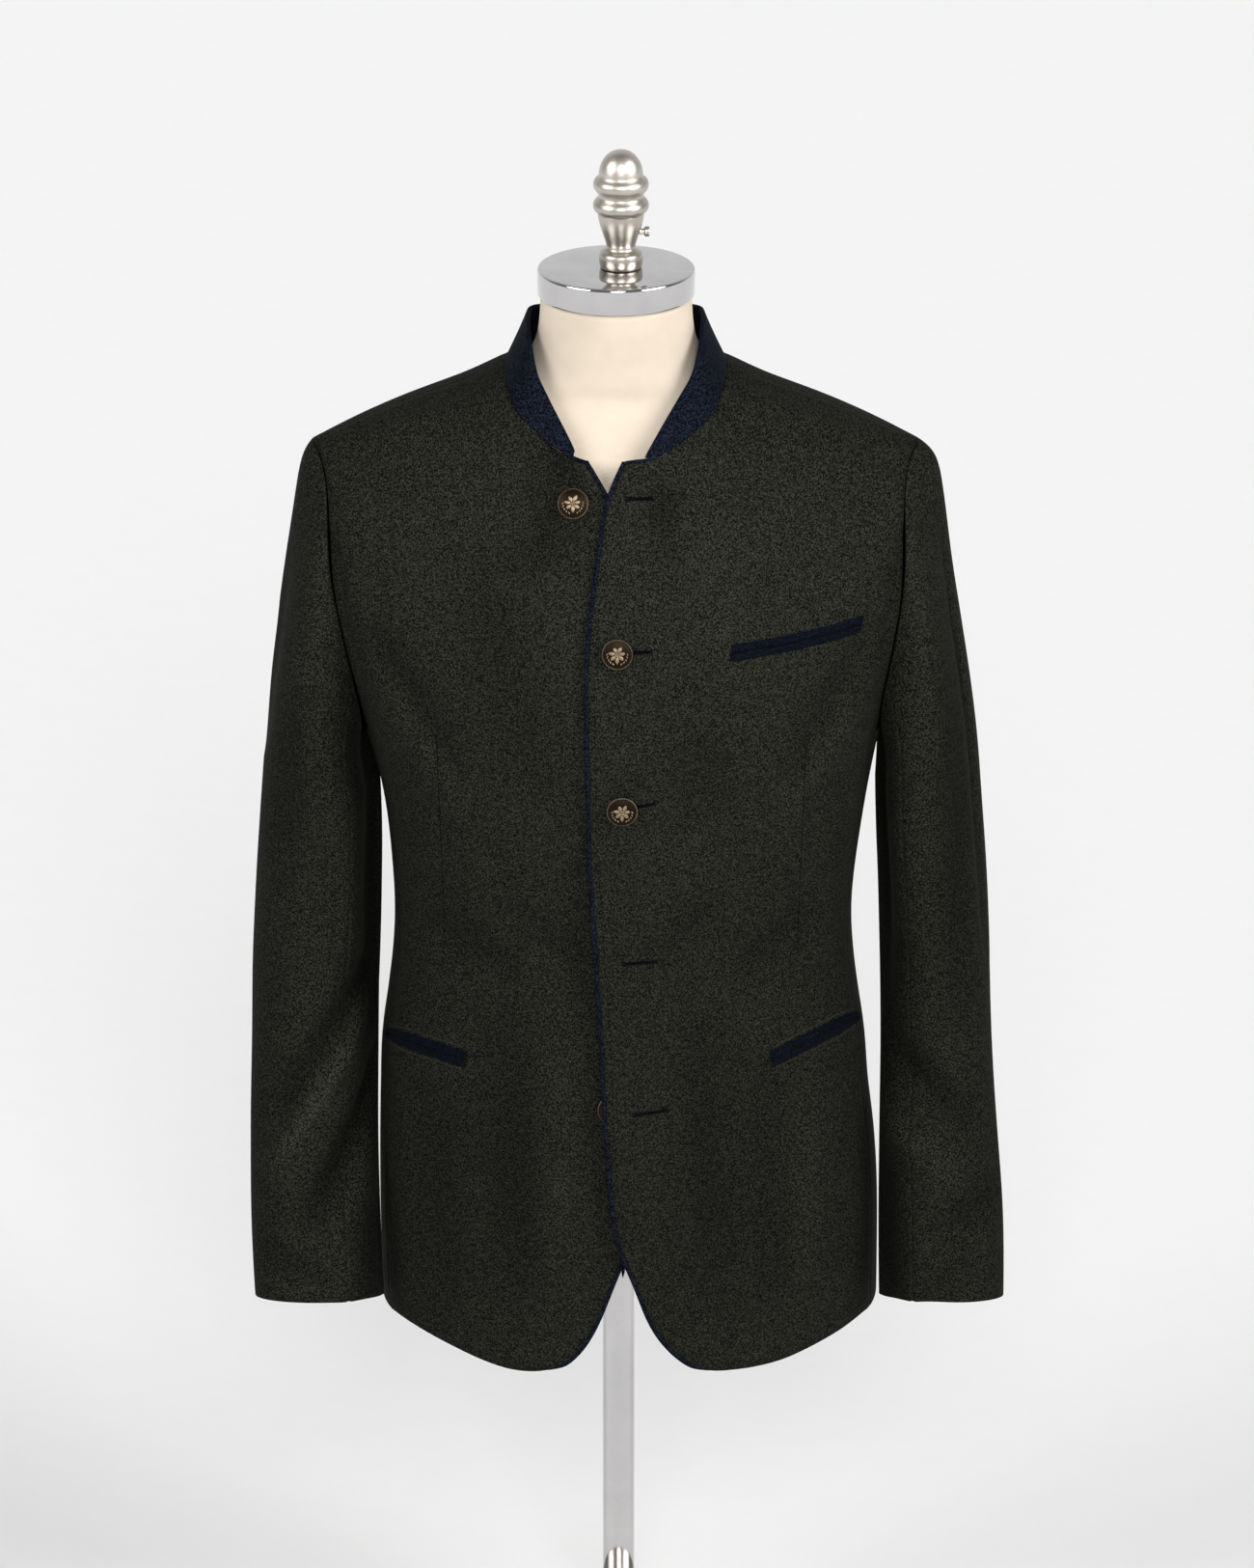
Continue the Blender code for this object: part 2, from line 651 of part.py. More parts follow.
def back_panel(side):
    """One half of the back, from the centre back seam to the side seam and armhole."""
    seam, hole = side_seam(side, "back", False)
    right = np.vstack([shifted(seam, side * SEAM / 2), hole])
    right[SEAM_ROWS] = shifted(right[SEAM_ROWS:SEAM_ROWS + 1], side * SEAM / 2)[0]
    neck = NECKLINE.at("back", 0.0)
    heights = middle_heights(right, 0.0, MIDDLE_ROW, neck)
    left = shifted([(side * math.pi, height) for height in heights], -side * SEAM / 2)
    bottom = []
    for column in range(BACK_COLUMNS + 1):
        share = column / BACK_COLUMNS
        bottom.append((left[0][0] + (right[0][0] - left[0][0]) * share, 0.0))
    top = [tuple(left[-1])] + [neck_place(side, across, False) for across in back_neck()[1:-1]]
    for column in range(BACK_NECK_COLUMNS, BACK_COLUMNS + 1):
        share = (column - BACK_NECK_COLUMNS) / (BACK_COLUMNS - BACK_NECK_COLUMNS)
        across = NECK_WIDTH + (ARM_TOP - NECK_WIDTH) * share
        height = SHOULDER.at("height", across)
        x = side * across + BODY.at("shift", height)
        top.append((angle_at(x, height, False), height))
    top[-1] = tuple(right[-1])
    grid = patch(left, right, np.array(bottom), np.array(top))
    name = "back_left" if side > 0 else "back_right"
    panel(name, side, grid, LODEN)


def side_panel(side):
    """The panel under the arm, between the two side seams."""
    front, _ = side_seam(side, "front", True)
    back, _ = side_seam(side, "back", False)
    last = ARM_STEPS - SIDE_STEPS
    front = np.vstack([front, [armhole(side, last, True)]])
    back = np.vstack([back, [armhole(side, last, False)]])
    left = shifted(front, side * SEAM / 2)
    right = shifted(back, -side * SEAM / 2)
    top = [armhole(side, step, True) for step in range(last, ARM_STEPS)]
    top += [armhole(side, step, False) for step in range(ARM_STEPS, last - 1, -1)]
    top[0] = tuple(left[-1])
    top[-1] = tuple(right[-1])
    bottom = [left[0] + (right[0] - left[0]) * c / (len(top) - 1) for c in range(len(top))]
    grid = patch(left, right, np.array(bottom), np.array(top))
    outer = np.empty((*grid.shape[:2], 3))
    inner = np.empty_like(outer)
    for r, row in enumerate(grid):
        for c, (angle, height) in enumerate(row):
            normal = body_normal(angle, height)
            edge = c in (0, len(row) - 1)
            point = cloth_point(side, angle, height) if edge else body_point(angle, height)
            outer[r, c] = point
            inner[r, c] = point - normal * CLOTH
    shell("side_left" if side > 0 else "side_right", outer, inner, LODEN)


# ---------------------------------------------------------------- sleeves
def sleeve_target(side, turn, height):
    """Where a lengthwise line of the sleeve lies on the full tube at a height."""
    table = SLEEVE[side]
    outer = table.at("outer", height)
    inner = table.at("inner", height)
    x = side * ((outer + inner) / 2 + (outer - inner) / 2 * math.cos(turn))
    away = -table.at("depth", height) * math.sin(turn)
    tilt = math.radians(table.at("tilt", height))
    y = table.at("middle", height) + away * math.cos(tilt)
    return np.array([x, y, HEM + height - away * math.sin(tilt)])


def crease_depth(side, turn, height):
    """How far the elbow creases sink the sleeve at a point."""
    total = 0.0
    for crease_side, angle, middle, slope, depth in CREASES.rows:
        if crease_side == side:
            apart = (math.degrees(turn) - angle + 180) % 360 - 180
            far = (height - middle - slope * math.radians(apart) * 0.05) / CREASE_HEIGHT
            total += depth * math.exp(-far ** 2 - (apart / CREASE_ANGLE) ** 2)
    return total


def sleeve(side):
    """Upper and under sleeve, from the armhole's edge down to the cuff."""
    halves = [(place, True) for place in ARM_PLACES] + [(p, False) for p in ARM_PLACES[-2:0:-1]]
    edge = [armhole(side, place, front) for place, front in halves]
    turns = [math.pi * (p if front else 2 * ARM_STEPS - p) / ARM_STEPS for p, front in halves]
    points = np.array([cloth_point(side, *place) for place in edge])
    bottom = ARM_PLACES.index(ARM_STEPS)
    for step in range(bottom - SIDE_STEPS + 1, bottom + SIDE_STEPS):
        points[step] = body_point(*edge[step])
    centre = points.mean(axis=0)
    around = len(edge)
    rows = len(SLEEVE_HEAD_ROWS) + SLEEVE_TUBE_ROWS
    outer = np.empty((rows, around, 3))
    first = np.empty((around, 3))
    for step in range(around):
        body = body_normal(*edge[step])
        along = points[(step + 1) % around] - points[step - 1]
        away = unit(np.cross(along, body))
        if np.dot(away, centre - points[step]) < 0:
            away = -away
        lean = math.pi / 2 * (halves[step][0] / ARM_STEPS) ** 1.2
        start = points[step] + ARM_GAP * (away * math.cos(lean) + body * math.sin(lean))
        first[step] = body * math.cos(lean) - away * math.sin(lean)
        top = start[2] - HEM
        miss = start - sleeve_target(side, turns[step], top)
        for row, share in enumerate(SLEEVE_HEAD_ROWS):
            height = top + (SLEEVE_HEAD_END - top) * share
            place = sleeve_target(side, turns[step], height)
            outer[row, step] = place + miss * (1 - share) ** 2.5
        for row in range(SLEEVE_TUBE_ROWS):
            share = (row + 1) / SLEEVE_TUBE_ROWS
            height = SLEEVE_HEAD_END + (SLEEVE_END - SLEEVE_HEAD_END) * share
            outer[len(SLEEVE_HEAD_ROWS) + row, step] = sleeve_target(side, turns[step], height)
    normals = grid_normals(outer, True)
    if np.dot(normals[-1, 0], np.array([side, 0, 0])) < 0:
        normals = -normals
    for row in range(len(SLEEVE_HEAD_ROWS), rows):
        for step in range(around):
            height = outer[row, step, 2] - HEM
            outer[row, step] -= normals[row, step] * crease_depth(side, turns[step], height)
    normals[0] = first
    inner = outer - normals * CLOTH
    word = "left" if side > 0 else "right"
    front_seam = ARM_PLACES.index(SLEEVE_SEAM_PLACE)
    back_seam = around - front_seam
    split(f"sleeve_upper_{word}", outer, inner, back_seam, front_seam + around)
    split(f"sleeve_under_{word}", outer, inner, front_seam, back_seam)


def grid_normals(grid, closed):
    """Directions square to a grid of points."""
    along = np.empty_like(grid)
    along[1:-1] = grid[2:] - grid[:-2]
    along[0] = grid[1] - grid[0]
    along[-1] = grid[-1] - grid[-2]
    if closed:
        around = np.roll(grid, -1, axis=1) - np.roll(grid, 1, axis=1)
    else:
        around = np.empty_like(grid)
        around[:, 1:-1] = grid[:, 2:] - grid[:, :-2]
        around[:, 0] = grid[:, 1] - grid[:, 0]
        around[:, -1] = grid[:, -1] - grid[:, -2]
    normals = np.cross(around, along)
    return normals / np.linalg.norm(normals, axis=2)[:, :, None]


def split(name, outer, inner, first, last):
    """The strip of a closed tube between two of its lengthwise lines, short of both."""
    around = outer.shape[1]
    steps = [step % around for step in range(first, last + 1)]
    sheets = []
    for grid in (outer, inner):
        strip = grid[:, steps].copy()
        for end, inward in ((0, 1), (-1, -2)):
            toward = strip[:, inward] - strip[:, end]
            toward /= np.linalg.norm(toward, axis=1)[:, None]
            strip[:, end] += toward * SEAM / 2
        sheets.append(strip)
    shell(name, sheets[0], sheets[1], LODEN)


# ---------------------------------------------------------------- collar, piping, pockets
def collar():
    """The stand collar, a band leaning in from the neckline seam."""
    places = []
    for side in (-1, 1):
        end = side * (COLLAR_ENDS[side] - BODY.at("shift", NECKLINE.at("front", 0)))
        across = [end] + [step for step in front_neck(side) if step > end + COLLAR_END_STEP]
        half = [(side, neck_place(side, step, True)) for step in across]
        half += [(side, neck_place(side, step, False)) for step in back_neck()[-2:0:-1]]
        places += half if side < 0 else [(1, neck_place(1, 0.0, False))] + half[::-1]
    line = np.array([cloth_point(side, *place) for side, place in places])
    length = np.concatenate([[0], np.cumsum(np.linalg.norm(np.diff(line, axis=0), axis=1))])
    centre = line.mean(axis=0)
    rows = (0.0, 0.35, 0.7, 1.0)
    outer = np.empty((len(rows), len(line), 3))
    inner = np.empty_like(outer)
    for i, point in enumerate(line):
        before = line[max(i - 1, 0)]
        after = line[min(i + 1, len(line) - 1)]
        along = unit(after - before)
        body = body_normal(*places[i][1])
        away = unit(np.cross(along, body))
        if np.dot(away, centre - point) < 0:
            away = -away
        out = unit(np.cross(along, (0, 0, 1)))
        if np.dot(out, point - centre) < 0:
            out = -out
        lean = COLLAR_LEAN + (COLLAR_BACK_LEAN - COLLAR_LEAN) * max(out[1], 0.0)
        rise = np.array([0, 0, math.cos(lean)]) - out * math.sin(lean)
        face = out * math.cos(lean) + np.array([0, 0, math.sin(lean)])
        height = COLLAR.at("height", min(length[i], length[-1] - length[i]))
        for row, share in enumerate(rows):
            outer[row, i] = point + away * COLLAR_GAP + rise * height * share
            inner[row, i] = outer[row, i] - face * FELT
    shell("collar", outer, inner, NAVY)


def edge_piping(side, grid):
    """A thin round piping along a front's edge and round its corner."""
    places = [grid[row, 0] for row in range(grid.shape[0] - 1, 0, -1)]
    start = edge_x(side, EDGE_BOTTOM)
    for column in range(grid.shape[1]):
        angle, height = grid[0, column]
        if abs(body_point(angle, height)[0] - start) <= PIPING_STOP:
            places.append(grid[0, column])
    line = np.array([cloth_point(side, *place, -CLOTH / 2) for place in places])
    points = []
    for i, point in enumerate(line):
        along = unit(line[min(i + 1, len(line) - 1)] - line[max(i - 1, 0)])
        away = unit(np.cross(along, body_normal(*places[i])))
        if away[0] * side > 0 or (abs(away[0]) < 0.3 and away[2] > 0):
            away = -away
        points.append(point + away * (PIPING_RADIUS + SEAM + 0.0002))
    data = bpy.data.curves.new("piping", "CURVE")
    data.dimensions = "3D"
    data.bevel_depth = PIPING_RADIUS
    data.bevel_resolution = 1
    data.use_fill_caps = True
    spline = data.splines.new("POLY")
    spline.points.add(len(points) - 1)
    for knot, point in zip(spline.points, points):
        knot.co = (*point, 1.0)
    add_object("piping_left" if side > 0 else "piping_right", data, NAVY)


def pocket(name, side, start, end=None, end_angle=None, drop=0.0):
    """Two narrow bands lying along a pocket mouth, made from the front's points."""
    first = np.array([angle_at(start[0], start[1]), start[1]])
    if end is None:
        last = np.array([math.radians(end_angle), start[1] - drop])
    else:
        last = np.array([angle_at(end[0], end[1]), end[1]])
    profile = ((0.0, 0.55), (0.3, 1.0), (0.7, 1.0), (1.0, 0.55))
    for word, bottom in (("upper", 0.0), ("lower", -BAND_HEIGHT)):
        outer = np.empty((BAND_STEPS + 1, len(profile), 3))
        inner = np.empty_like(outer)
        for i in range(BAND_STEPS + 1):
            angle, height = first + (last - first) * i / BAND_STEPS
            for j, (share, thick) in enumerate(profile):
                level = height + bottom + SEAM / 2 + (BAND_HEIGHT - SEAM) * share
                inner[i, j] = cloth_point(side, angle, level, ON_PANEL)
                outer[i, j] = cloth_point(side, angle, level, ON_PANEL + BAND_THICK * thick)
        shell(f"{name}_{word}", outer, inner, NAVY)


def turned(name, profile, steps, finish, place=(0, 0, 0), normal=(0, 0, 1)):
    """A turned solid from (height, radius) pairs, listed from its top down."""
    mesh = bpy.data.meshes.new(name)
    verts = [(radius, 0, height) for height, radius in profile]
    mesh.from_pydata(verts, [(i, i + 1) for i in range(len(verts) - 1)], [])
    made = add_object(name, mesh, finish)
    screw = made.modifiers.new("turn", "SCREW")
    screw.steps = steps
    screw.render_steps = steps
    screw.use_merge_vertices = True
    screw.merge_threshold = 0.00001
    made.location = place
    up = np.array([0.0, 0.0, 1.0])
    axis = np.cross(up, normal)
    if np.linalg.norm(axis) > 1e-6:
        angle = math.acos(max(-1.0, min(1.0, float(np.dot(up, normal)))))
        made.rotation_mode = "AXIS_ANGLE"
        made.rotation_axis_angle = (angle, *unit(axis))
    return made


def buttons():
    """Domed shank buttons: rim, dome and shank."""
    top = BUTTON_HEIGHT
    rim = BUTTON_RADIUS
    profile = (
        (top, 0.0), (top - 0.0002, rim * 0.35), (top - 0.0008, rim * 0.65), (top - 0.0014, rim * 0.8),
        (top - 0.0010, rim * 0.88), (top - 0.0012, rim * 0.96), (top - 0.0022, rim),
        (top - 0.0034, rim * 0.94), (top - 0.0040, rim * 0.6), (top - 0.0042, 0.0032),
        (0.0, 0.0028), (0.0, 0.0),
    )
    for name, x, height, side in BUTTONS:
        angle = angle_at(x, height)
        place = cloth_point(side, angle, height, ON_PANEL)
        turned(name, profile, 16, BRASS, place, body_normal(angle, height))


# ---------------------------------------------------------------- dress form
def form_ring(height):
    """One level ring of the torso."""
    ring = []
    width = FORM.at("width", height)
    shift = NECK_X * smooth((height - NECK_FROM) / NECK_RISE)
    power = 2 / (2.0 + HIP_SQUARENESS * (1 - smooth((height - CHEST_FROM) / CHEST_RISE)))
    for step in range(FORM_STEPS):
        turn = 2 * math.pi * step / FORM_STEPS
        depth = FORM.at("front" if math.cos(turn) > 0 else "back", height)
        x = math.copysign(abs(math.sin(turn)) ** power, math.sin(turn)) * width
        y = -math.copysign(abs(math.cos(turn)) ** power, math.cos(turn)) * depth
        ring.append((x + shift, y, HEM + height))
    return ring


def dress_form():
    """Torso with neck, cap, finial, pole and base."""
    build = bmesh.new()
    rings = []
    for height in FORM.rows[:, 0]:
        rings.append([build.verts.new(point) for point in form_ring(height)])
    for low, high in zip(rings, rings[1:]):
        for i in range(FORM_STEPS):
            j = (i + 1) % FORM_STEPS
            build.faces.new((low[i], low[j], high[j], high[i]))
    build.faces.new(rings[0])
    build.faces.new(rings[-1])
    finish_mesh("form_torso", build, LINEN)

    cap = ((CAP_TOP, 0.0), (CAP_TOP, CAP_RADIUS - 0.0010), (CAP_TOP - 0.0010, CAP_RADIUS),
           (CAP_BOTTOM + 0.0006, CAP_RADIUS), (CAP_BOTTOM, CAP_RADIUS - 0.0006), (CAP_BOTTOM, 0.0))
    turned("neck_cap", cap, 32, CHROME, (NECK_X, NECK_Y, HEM))
    turned("finial", FINIAL, 16, NICKEL, (FINIAL_X, NECK_Y, HEM + CAP_TOP))
    screw = ((0.0065, 0.0), (0.0065, 0.0030), (0.0058, 0.0038), (0.0030, 0.0038), (0.0024, 0.0022),
             (0.0, 0.0022), (0.0, 0.0))
    place = (FINIAL_X + SCREW_X, NECK_Y, HEM + CAP_TOP + SCREW_Z)
    turned("finial_screw", screw, 12, NICKEL, place, (1, 0, 0))

    bottom = HEM + FORM.rows[0, 0]
    pole = ((bottom - SEAM, 0.0), (bottom - SEAM, POLE_RADIUS), (BOSS_TOP + SEAM, POLE_RADIUS),
            (BOSS_TOP + SEAM, 0.0))
    turned("pole", pole, 20, CHROME)
    base = ((BOSS_TOP, 0.0), (BOSS_TOP, BOSS_RADIUS - 0.003), (BOSS_TOP - 0.003, BOSS_RADIUS),
            (BASE_THICK + 0.005, BOSS_RADIUS), (BASE_THICK, BOSS_RADIUS + 0.008),
            (BASE_THICK - 0.003, BASE_RADIUS - 0.010), (BASE_THICK - 0.006, BASE_RADIUS - 0.003),
            (0.003, BASE_RADIUS), (0.0, BASE_RADIUS - 0.002), (0.0, 0.0))
    turned("base", base, 36, NICKEL)


# ---------------------------------------------------------------- the whole
def clear_scene():
    """Take away whatever the scene holds."""
    for old in list(bpy.data.objects):
        bpy.data.objects.remove(old, do_unlink=True)


def main():
    """Model every piece."""
    for side in (1, -1):
        edge_piping(side, front_panel(side))
        side_panel(side)
        back_panel(side)
        sleeve(side)
    collar()
    for name, sizes in POCKETS.items():
        pocket(name, **sizes)
    buttons()
    dress_form()


clear_scene()
PARTS = bpy.data.collections.new("tyrolean_jacket")
bpy.context.scene.collection.children.link(PARTS)
main()
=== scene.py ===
"""Looks of a tyrolean loden jacket with a stand collar, worn by a limbless dress form.

Every cloth piece is a fine shell on the form of its own solid, with soft folds and creases
sunk into it. Metres, +Z up, -Y is the front, +X is the wearer's left. Heights in the
tables are measured up from the jacket's side hem, which hangs HEM above the floor.
"""

import logging
import math
from collections.abc import Iterator
from contextlib import contextmanager
from dataclasses import dataclass, field
from enum import Enum

import bmesh
import bpy
import numpy as np
from mathutils import Matrix, Vector
from mathutils.bvhtree import BVHTree
from numpy.polynomial import Polynomial


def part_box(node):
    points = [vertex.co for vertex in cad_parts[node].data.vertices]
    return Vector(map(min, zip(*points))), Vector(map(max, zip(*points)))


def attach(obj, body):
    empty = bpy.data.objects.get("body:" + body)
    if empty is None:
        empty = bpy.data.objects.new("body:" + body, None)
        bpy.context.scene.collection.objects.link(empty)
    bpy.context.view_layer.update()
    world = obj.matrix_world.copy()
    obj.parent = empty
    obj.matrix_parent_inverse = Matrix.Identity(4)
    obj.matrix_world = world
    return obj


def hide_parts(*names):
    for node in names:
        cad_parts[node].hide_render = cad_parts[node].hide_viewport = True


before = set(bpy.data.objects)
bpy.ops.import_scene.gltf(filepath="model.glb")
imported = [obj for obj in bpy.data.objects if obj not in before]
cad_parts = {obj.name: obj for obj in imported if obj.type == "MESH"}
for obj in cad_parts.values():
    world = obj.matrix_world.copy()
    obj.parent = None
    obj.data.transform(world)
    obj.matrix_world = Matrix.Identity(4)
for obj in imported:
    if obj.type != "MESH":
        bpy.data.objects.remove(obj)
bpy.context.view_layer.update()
LOG = logging.getLogger("jacket")

HEM = 0.315                     # side hem above the floor
VIEW_PITCH = 19.8               # how far the camera looks down, in degrees
UP = Vector((0, 0, 1))

Colour = tuple[float, float, float]
Line = tuple[tuple[float, float, float], ...]       # X, Y and height of each point
Profile = tuple[tuple[float, float], ...]           # heights and radii, or X and heights


class Side(Enum):
    """The wearer's side that a piece belongs to."""

    LEFT = 1
    RIGHT = -1

    @property
    def word(self) -> str:
        """The side's name in node names."""
        return self.name.lower()


# ------------------------------------------------------------------ shader nodes
def set_inputs(node: bpy.types.Node, **values: object) -> None:
    """Set a node's inputs, with the spaces in their names written as underscores."""
    for label, value in values.items():
        node.inputs[label.replace("_", " ")].default_value = value


def add_node(tree: bpy.types.NodeTree, kind: str, **settings: object) -> bpy.types.Node:
    """Add a node to a tree.

    Args:
        tree: The node tree.
        kind: The node's type, without its ShaderNode prefix.
        **settings: Attributes, or values of inputs where a name isn't an attribute.

    Returns:
        The new node.
    """
    node = tree.nodes.new(f"ShaderNode{kind}")
    for name, value in settings.items():
        if hasattr(node, name):
            setattr(node, name, value)
        else:
            set_inputs(node, **{name: value})
    return node


def maths(tree: bpy.types.NodeTree, operation: str, *values: object) -> bpy.types.NodeSocket:
    """Add a Math node.

    Args:
        tree: The node tree.
        operation: The node's operation.
        *values: Sockets or numbers, as many as the operation takes.

    Returns:
        The node's output socket.
    """
    node = add_node(tree, "Math", operation=operation)
    for place, value in enumerate(values):
        if isinstance(value, bpy.types.NodeSocket):
            tree.links.new(value, node.inputs[place])
        else:
            node.inputs[place].default_value = value
    return node.outputs[0]


class Group:
    """A shader node group under construction."""

    def __init__(self, name: str, inputs: dict[str, float], outputs: tuple[str, ...]) -> None:
        """Start a group.

        Args:
            name: The group's name.
            inputs: Its number inputs and their defaults.
            outputs: Its number outputs.
        """
        self.tree = bpy.data.node_groups.new(name, "ShaderNodeTree")
        for label, value in inputs.items():
            socket = self.tree.interface.new_socket(label, in_out="INPUT", socket_type="NodeSocketFloat")
            socket.default_value = value
        for label in outputs:
            self.tree.interface.new_socket(label, in_out="OUTPUT", socket_type="NodeSocketFloat")
        self.inputs = self.tree.nodes.new("NodeGroupInput").outputs
        self.outputs = self.tree.nodes.new("NodeGroupOutput").inputs
        self.place = self.node("TexCoord").outputs["Object"]

    def node(self, kind: str, **settings: object) -> bpy.types.Node:
        """Add a node with the given attributes and inputs set."""
        return add_node(self.tree, kind, **settings)

    def link(self, source: bpy.types.NodeSocket, target: bpy.types.NodeSocket) -> None:
        """Join two sockets."""
        self.tree.links.new(source, target)

    def maths(self, operation: str, *values: object) -> bpy.types.NodeSocket:
        """Add a Math node on sockets or numbers."""
        return maths(self.tree, operation, *values)

    def noise(self, scale: bpy.types.NodeSocket | float, place: bpy.types.NodeSocket | None = None,
              **settings: float) -> bpy.types.NodeSocket:
        """Add a noise.

        Args:
            scale: A socket or a number.
            place: Where the noise is looked up, if not simply in the object.
            **settings: The noise's other inputs.

        Returns:
            The noise's value.
        """
        node = self.node("TexNoise", **settings)
        self.link(self.place if place is None else place, node.inputs["Vector"])
        if isinstance(scale, bpy.types.NodeSocket):
            self.link(scale, node.inputs["Scale"])
        else:
            set_inputs(node, Scale=scale)
        return node.outputs["Fac"]


FIBRE_TURNS = (0.5, 1.7, 2.9)   # three ways in which the fibres lie, in radians
FIBRE_STRETCH = 0.42            # a fibre's length against its width
PAINTED_SHADE_HEIGHTS = (0.10, 0.62)     # heights between which the painted shade towards the hem fades out upwards
# how far the painted shade lowers the clouds at and below the lower height
PAINTED_SHADE_DROP = -0.75


def wool_group() -> bpy.types.NodeTree:
    """Flecks, random clouds with a painted shade towards the hem, and height of milled wool cloth."""
    group = Group("milled_wool", {"Fleck Scale": 700.0, "Cloud Scale": 7.0}, ("Fleck", "Cloud", "Height"))
    streaks = []
    for turn in FIBRE_TURNS:
        mapping = group.node(
            "Mapping", Rotation=(turn, turn * 0.7, turn * 1.3), Scale=(1.0, FIBRE_STRETCH, 1.0))
        group.link(group.place, mapping.inputs["Vector"])
        streaks.append(group.noise(
            group.inputs["Fleck Scale"], mapping.outputs[0], Detail=1.5, Roughness=0.6, Distortion=0.9))
    high = group.maths("MAXIMUM", streaks[0], streaks[1])
    low = group.maths("MINIMUM", streaks[1], streaks[2])
    mixed = group.maths("ADD", group.maths("MULTIPLY", high, 0.55), group.maths("MULTIPLY", low, 0.45))
    fleck = group.node("MapRange", From_Min=0.43, From_Max=0.57)
    group.link(mixed, fleck.inputs["Value"])
    cloud = group.noise(group.inputs["Cloud Scale"], Detail=4.0, Roughness=0.55)
    parts = group.node("SeparateXYZ")
    group.link(group.place, parts.inputs[0])
    lower, upper = PAINTED_SHADE_HEIGHTS
    # Painted shade: the colour darkens towards the hem, standing in for light that falls off downwards.
    tone = group.node("MapRange", interpolation_type="SMOOTHSTEP", From_Min=HEM + lower,
                      From_Max=HEM + upper, To_Min=PAINTED_SHADE_DROP, To_Max=0.0)
    group.link(parts.outputs["Z"], tone.inputs["Value"])
    group.link(fleck.outputs[0], group.outputs["Fleck"])
    # The Cloud output carries the random clouds together with the painted shade towards the hem.
    group.link(group.maths("ADD", cloud, tone.outputs[0]), group.outputs["Cloud"])
    group.link(mixed, group.outputs["Height"])
    return group.tree


def weave_group() -> bpy.types.NodeTree:
    """Crossing threads of a plain weave round an upright form."""
    group = Group("plain_weave", {"Thread": 0.00065, "Radius": 0.058}, ("Thread", "Height"))
    parts = group.node("SeparateXYZ")
    group.link(group.place, parts.inputs[0])
    warp = group.noise(160.0, Detail=2.0)
    wobble = group.maths("MULTIPLY", group.maths("SUBTRACT", warp, 0.5), 1.1)
    turn = group.maths("ARCTAN2", parts.outputs["X"], parts.outputs["Y"])
    arc = group.maths("MULTIPLY", turn, group.inputs["Radius"])
    waves = []
    for along in (arc, parts.outputs["Z"]):
        count = group.maths("DIVIDE", along, group.inputs["Thread"])
        phase = group.maths("MULTIPLY", group.maths("ADD", count, wobble), math.tau)
        waves.append(group.maths("MULTIPLY_ADD", group.maths("SINE", phase), 0.5, 0.5))
    height = group.maths("MAXIMUM", *waves)
    slub = group.maths("MULTIPLY", group.noise(45.0, Detail=3.0), 0.5)
    group.link(group.maths("MULTIPLY_ADD", height, 0.6, slub), group.outputs["Thread"])
    group.link(height, group.outputs["Height"])
    return group.tree


def wear_group() -> bpy.types.NodeTree:
    """Smears and fine grain of a handled surface."""
    group = Group("handled_metal", {"Smear Scale": 30.0, "Grain Scale": 900.0}, ("Smear", "Grain"))
    for label, detail in (("Smear", 4.0), ("Grain", 2.0)):
        noise = group.noise(group.inputs[f"{label} Scale"], Detail=detail, Roughness=0.6, Distortion=0.4)
        group.link(noise, group.outputs[label])
    return group.tree


def placed(tree: bpy.types.NodeTree, name: str, **values: float) -> bpy.types.Node:
    """Put a shared effect in a material.

    Args:
        tree: The material's node tree.
        name: The name of the effect's node group, which is made on first use.
        **values: Its inputs, with spaces written as underscores.

    Returns:
        The group node.
    """
    makers = {"milled_wool": wool_group, "plain_weave": weave_group, "handled_metal": wear_group}
    node = tree.nodes.new("ShaderNodeGroup")
    node.node_tree = bpy.data.node_groups.get(name) or makers[name]()
    set_inputs(node, **values)
    return node


def ramp(tree: bpy.types.NodeTree, value: bpy.types.NodeSocket,
         *stops: tuple[float, Colour]) -> bpy.types.NodeSocket:
    """Colours along a value.

    Args:
        tree: The material's node tree.
        value: The value.
        *stops: Places from 0 to 1 and their colours.

    Returns:
        The colour socket.
    """
    node = add_node(tree, "ValToRGB")
    points = node.color_ramp.elements
    while len(points) < len(stops):
        points.new(0.5)
    for point, (where, colour) in zip(points, stops):
        point.position = where
        point.color = (*colour, 1.0)
    tree.links.new(value, node.inputs["Fac"])
    return node.outputs["Color"]


def bump(tree: bpy.types.NodeTree, shader: bpy.types.Node, height: bpy.types.NodeSocket,
         distance: float, strength: float = 1.0) -> None:
    """Feed a height into a shader's normal."""
    node = add_node(tree, "Bump", Strength=strength, Distance=distance)
    tree.links.new(height, node.inputs["Height"])
    tree.links.new(node.outputs[0], shader.inputs["Normal"])


# ------------------------------------------------------------------ finishes
BLACK: Colour = (0.0, 0.0, 0.0)


@dataclass(frozen=True)
class Finish:
    """What every finish has: a name, a roughness and a way to make its material."""

    name: str
    roughness: float

    def made(self) -> bpy.types.Material:
        """The finish's material, made on first use."""
        found = bpy.data.materials.get(self.name)
        if found:
            return found
        made = bpy.data.materials.new(self.name)
        made.use_nodes = True
        shader = made.node_tree.nodes["Principled BSDF"]
        set_inputs(shader, Roughness=self.roughness)
        self.fill(made.node_tree, shader)
        return made

    def fill(self, tree: bpy.types.NodeTree, shader: bpy.types.Node) -> None:
        """Add the finish's own nodes.

        Args:
            tree: The material's node tree.
            shader: Its Principled shader.
        """
        raise NotImplementedError


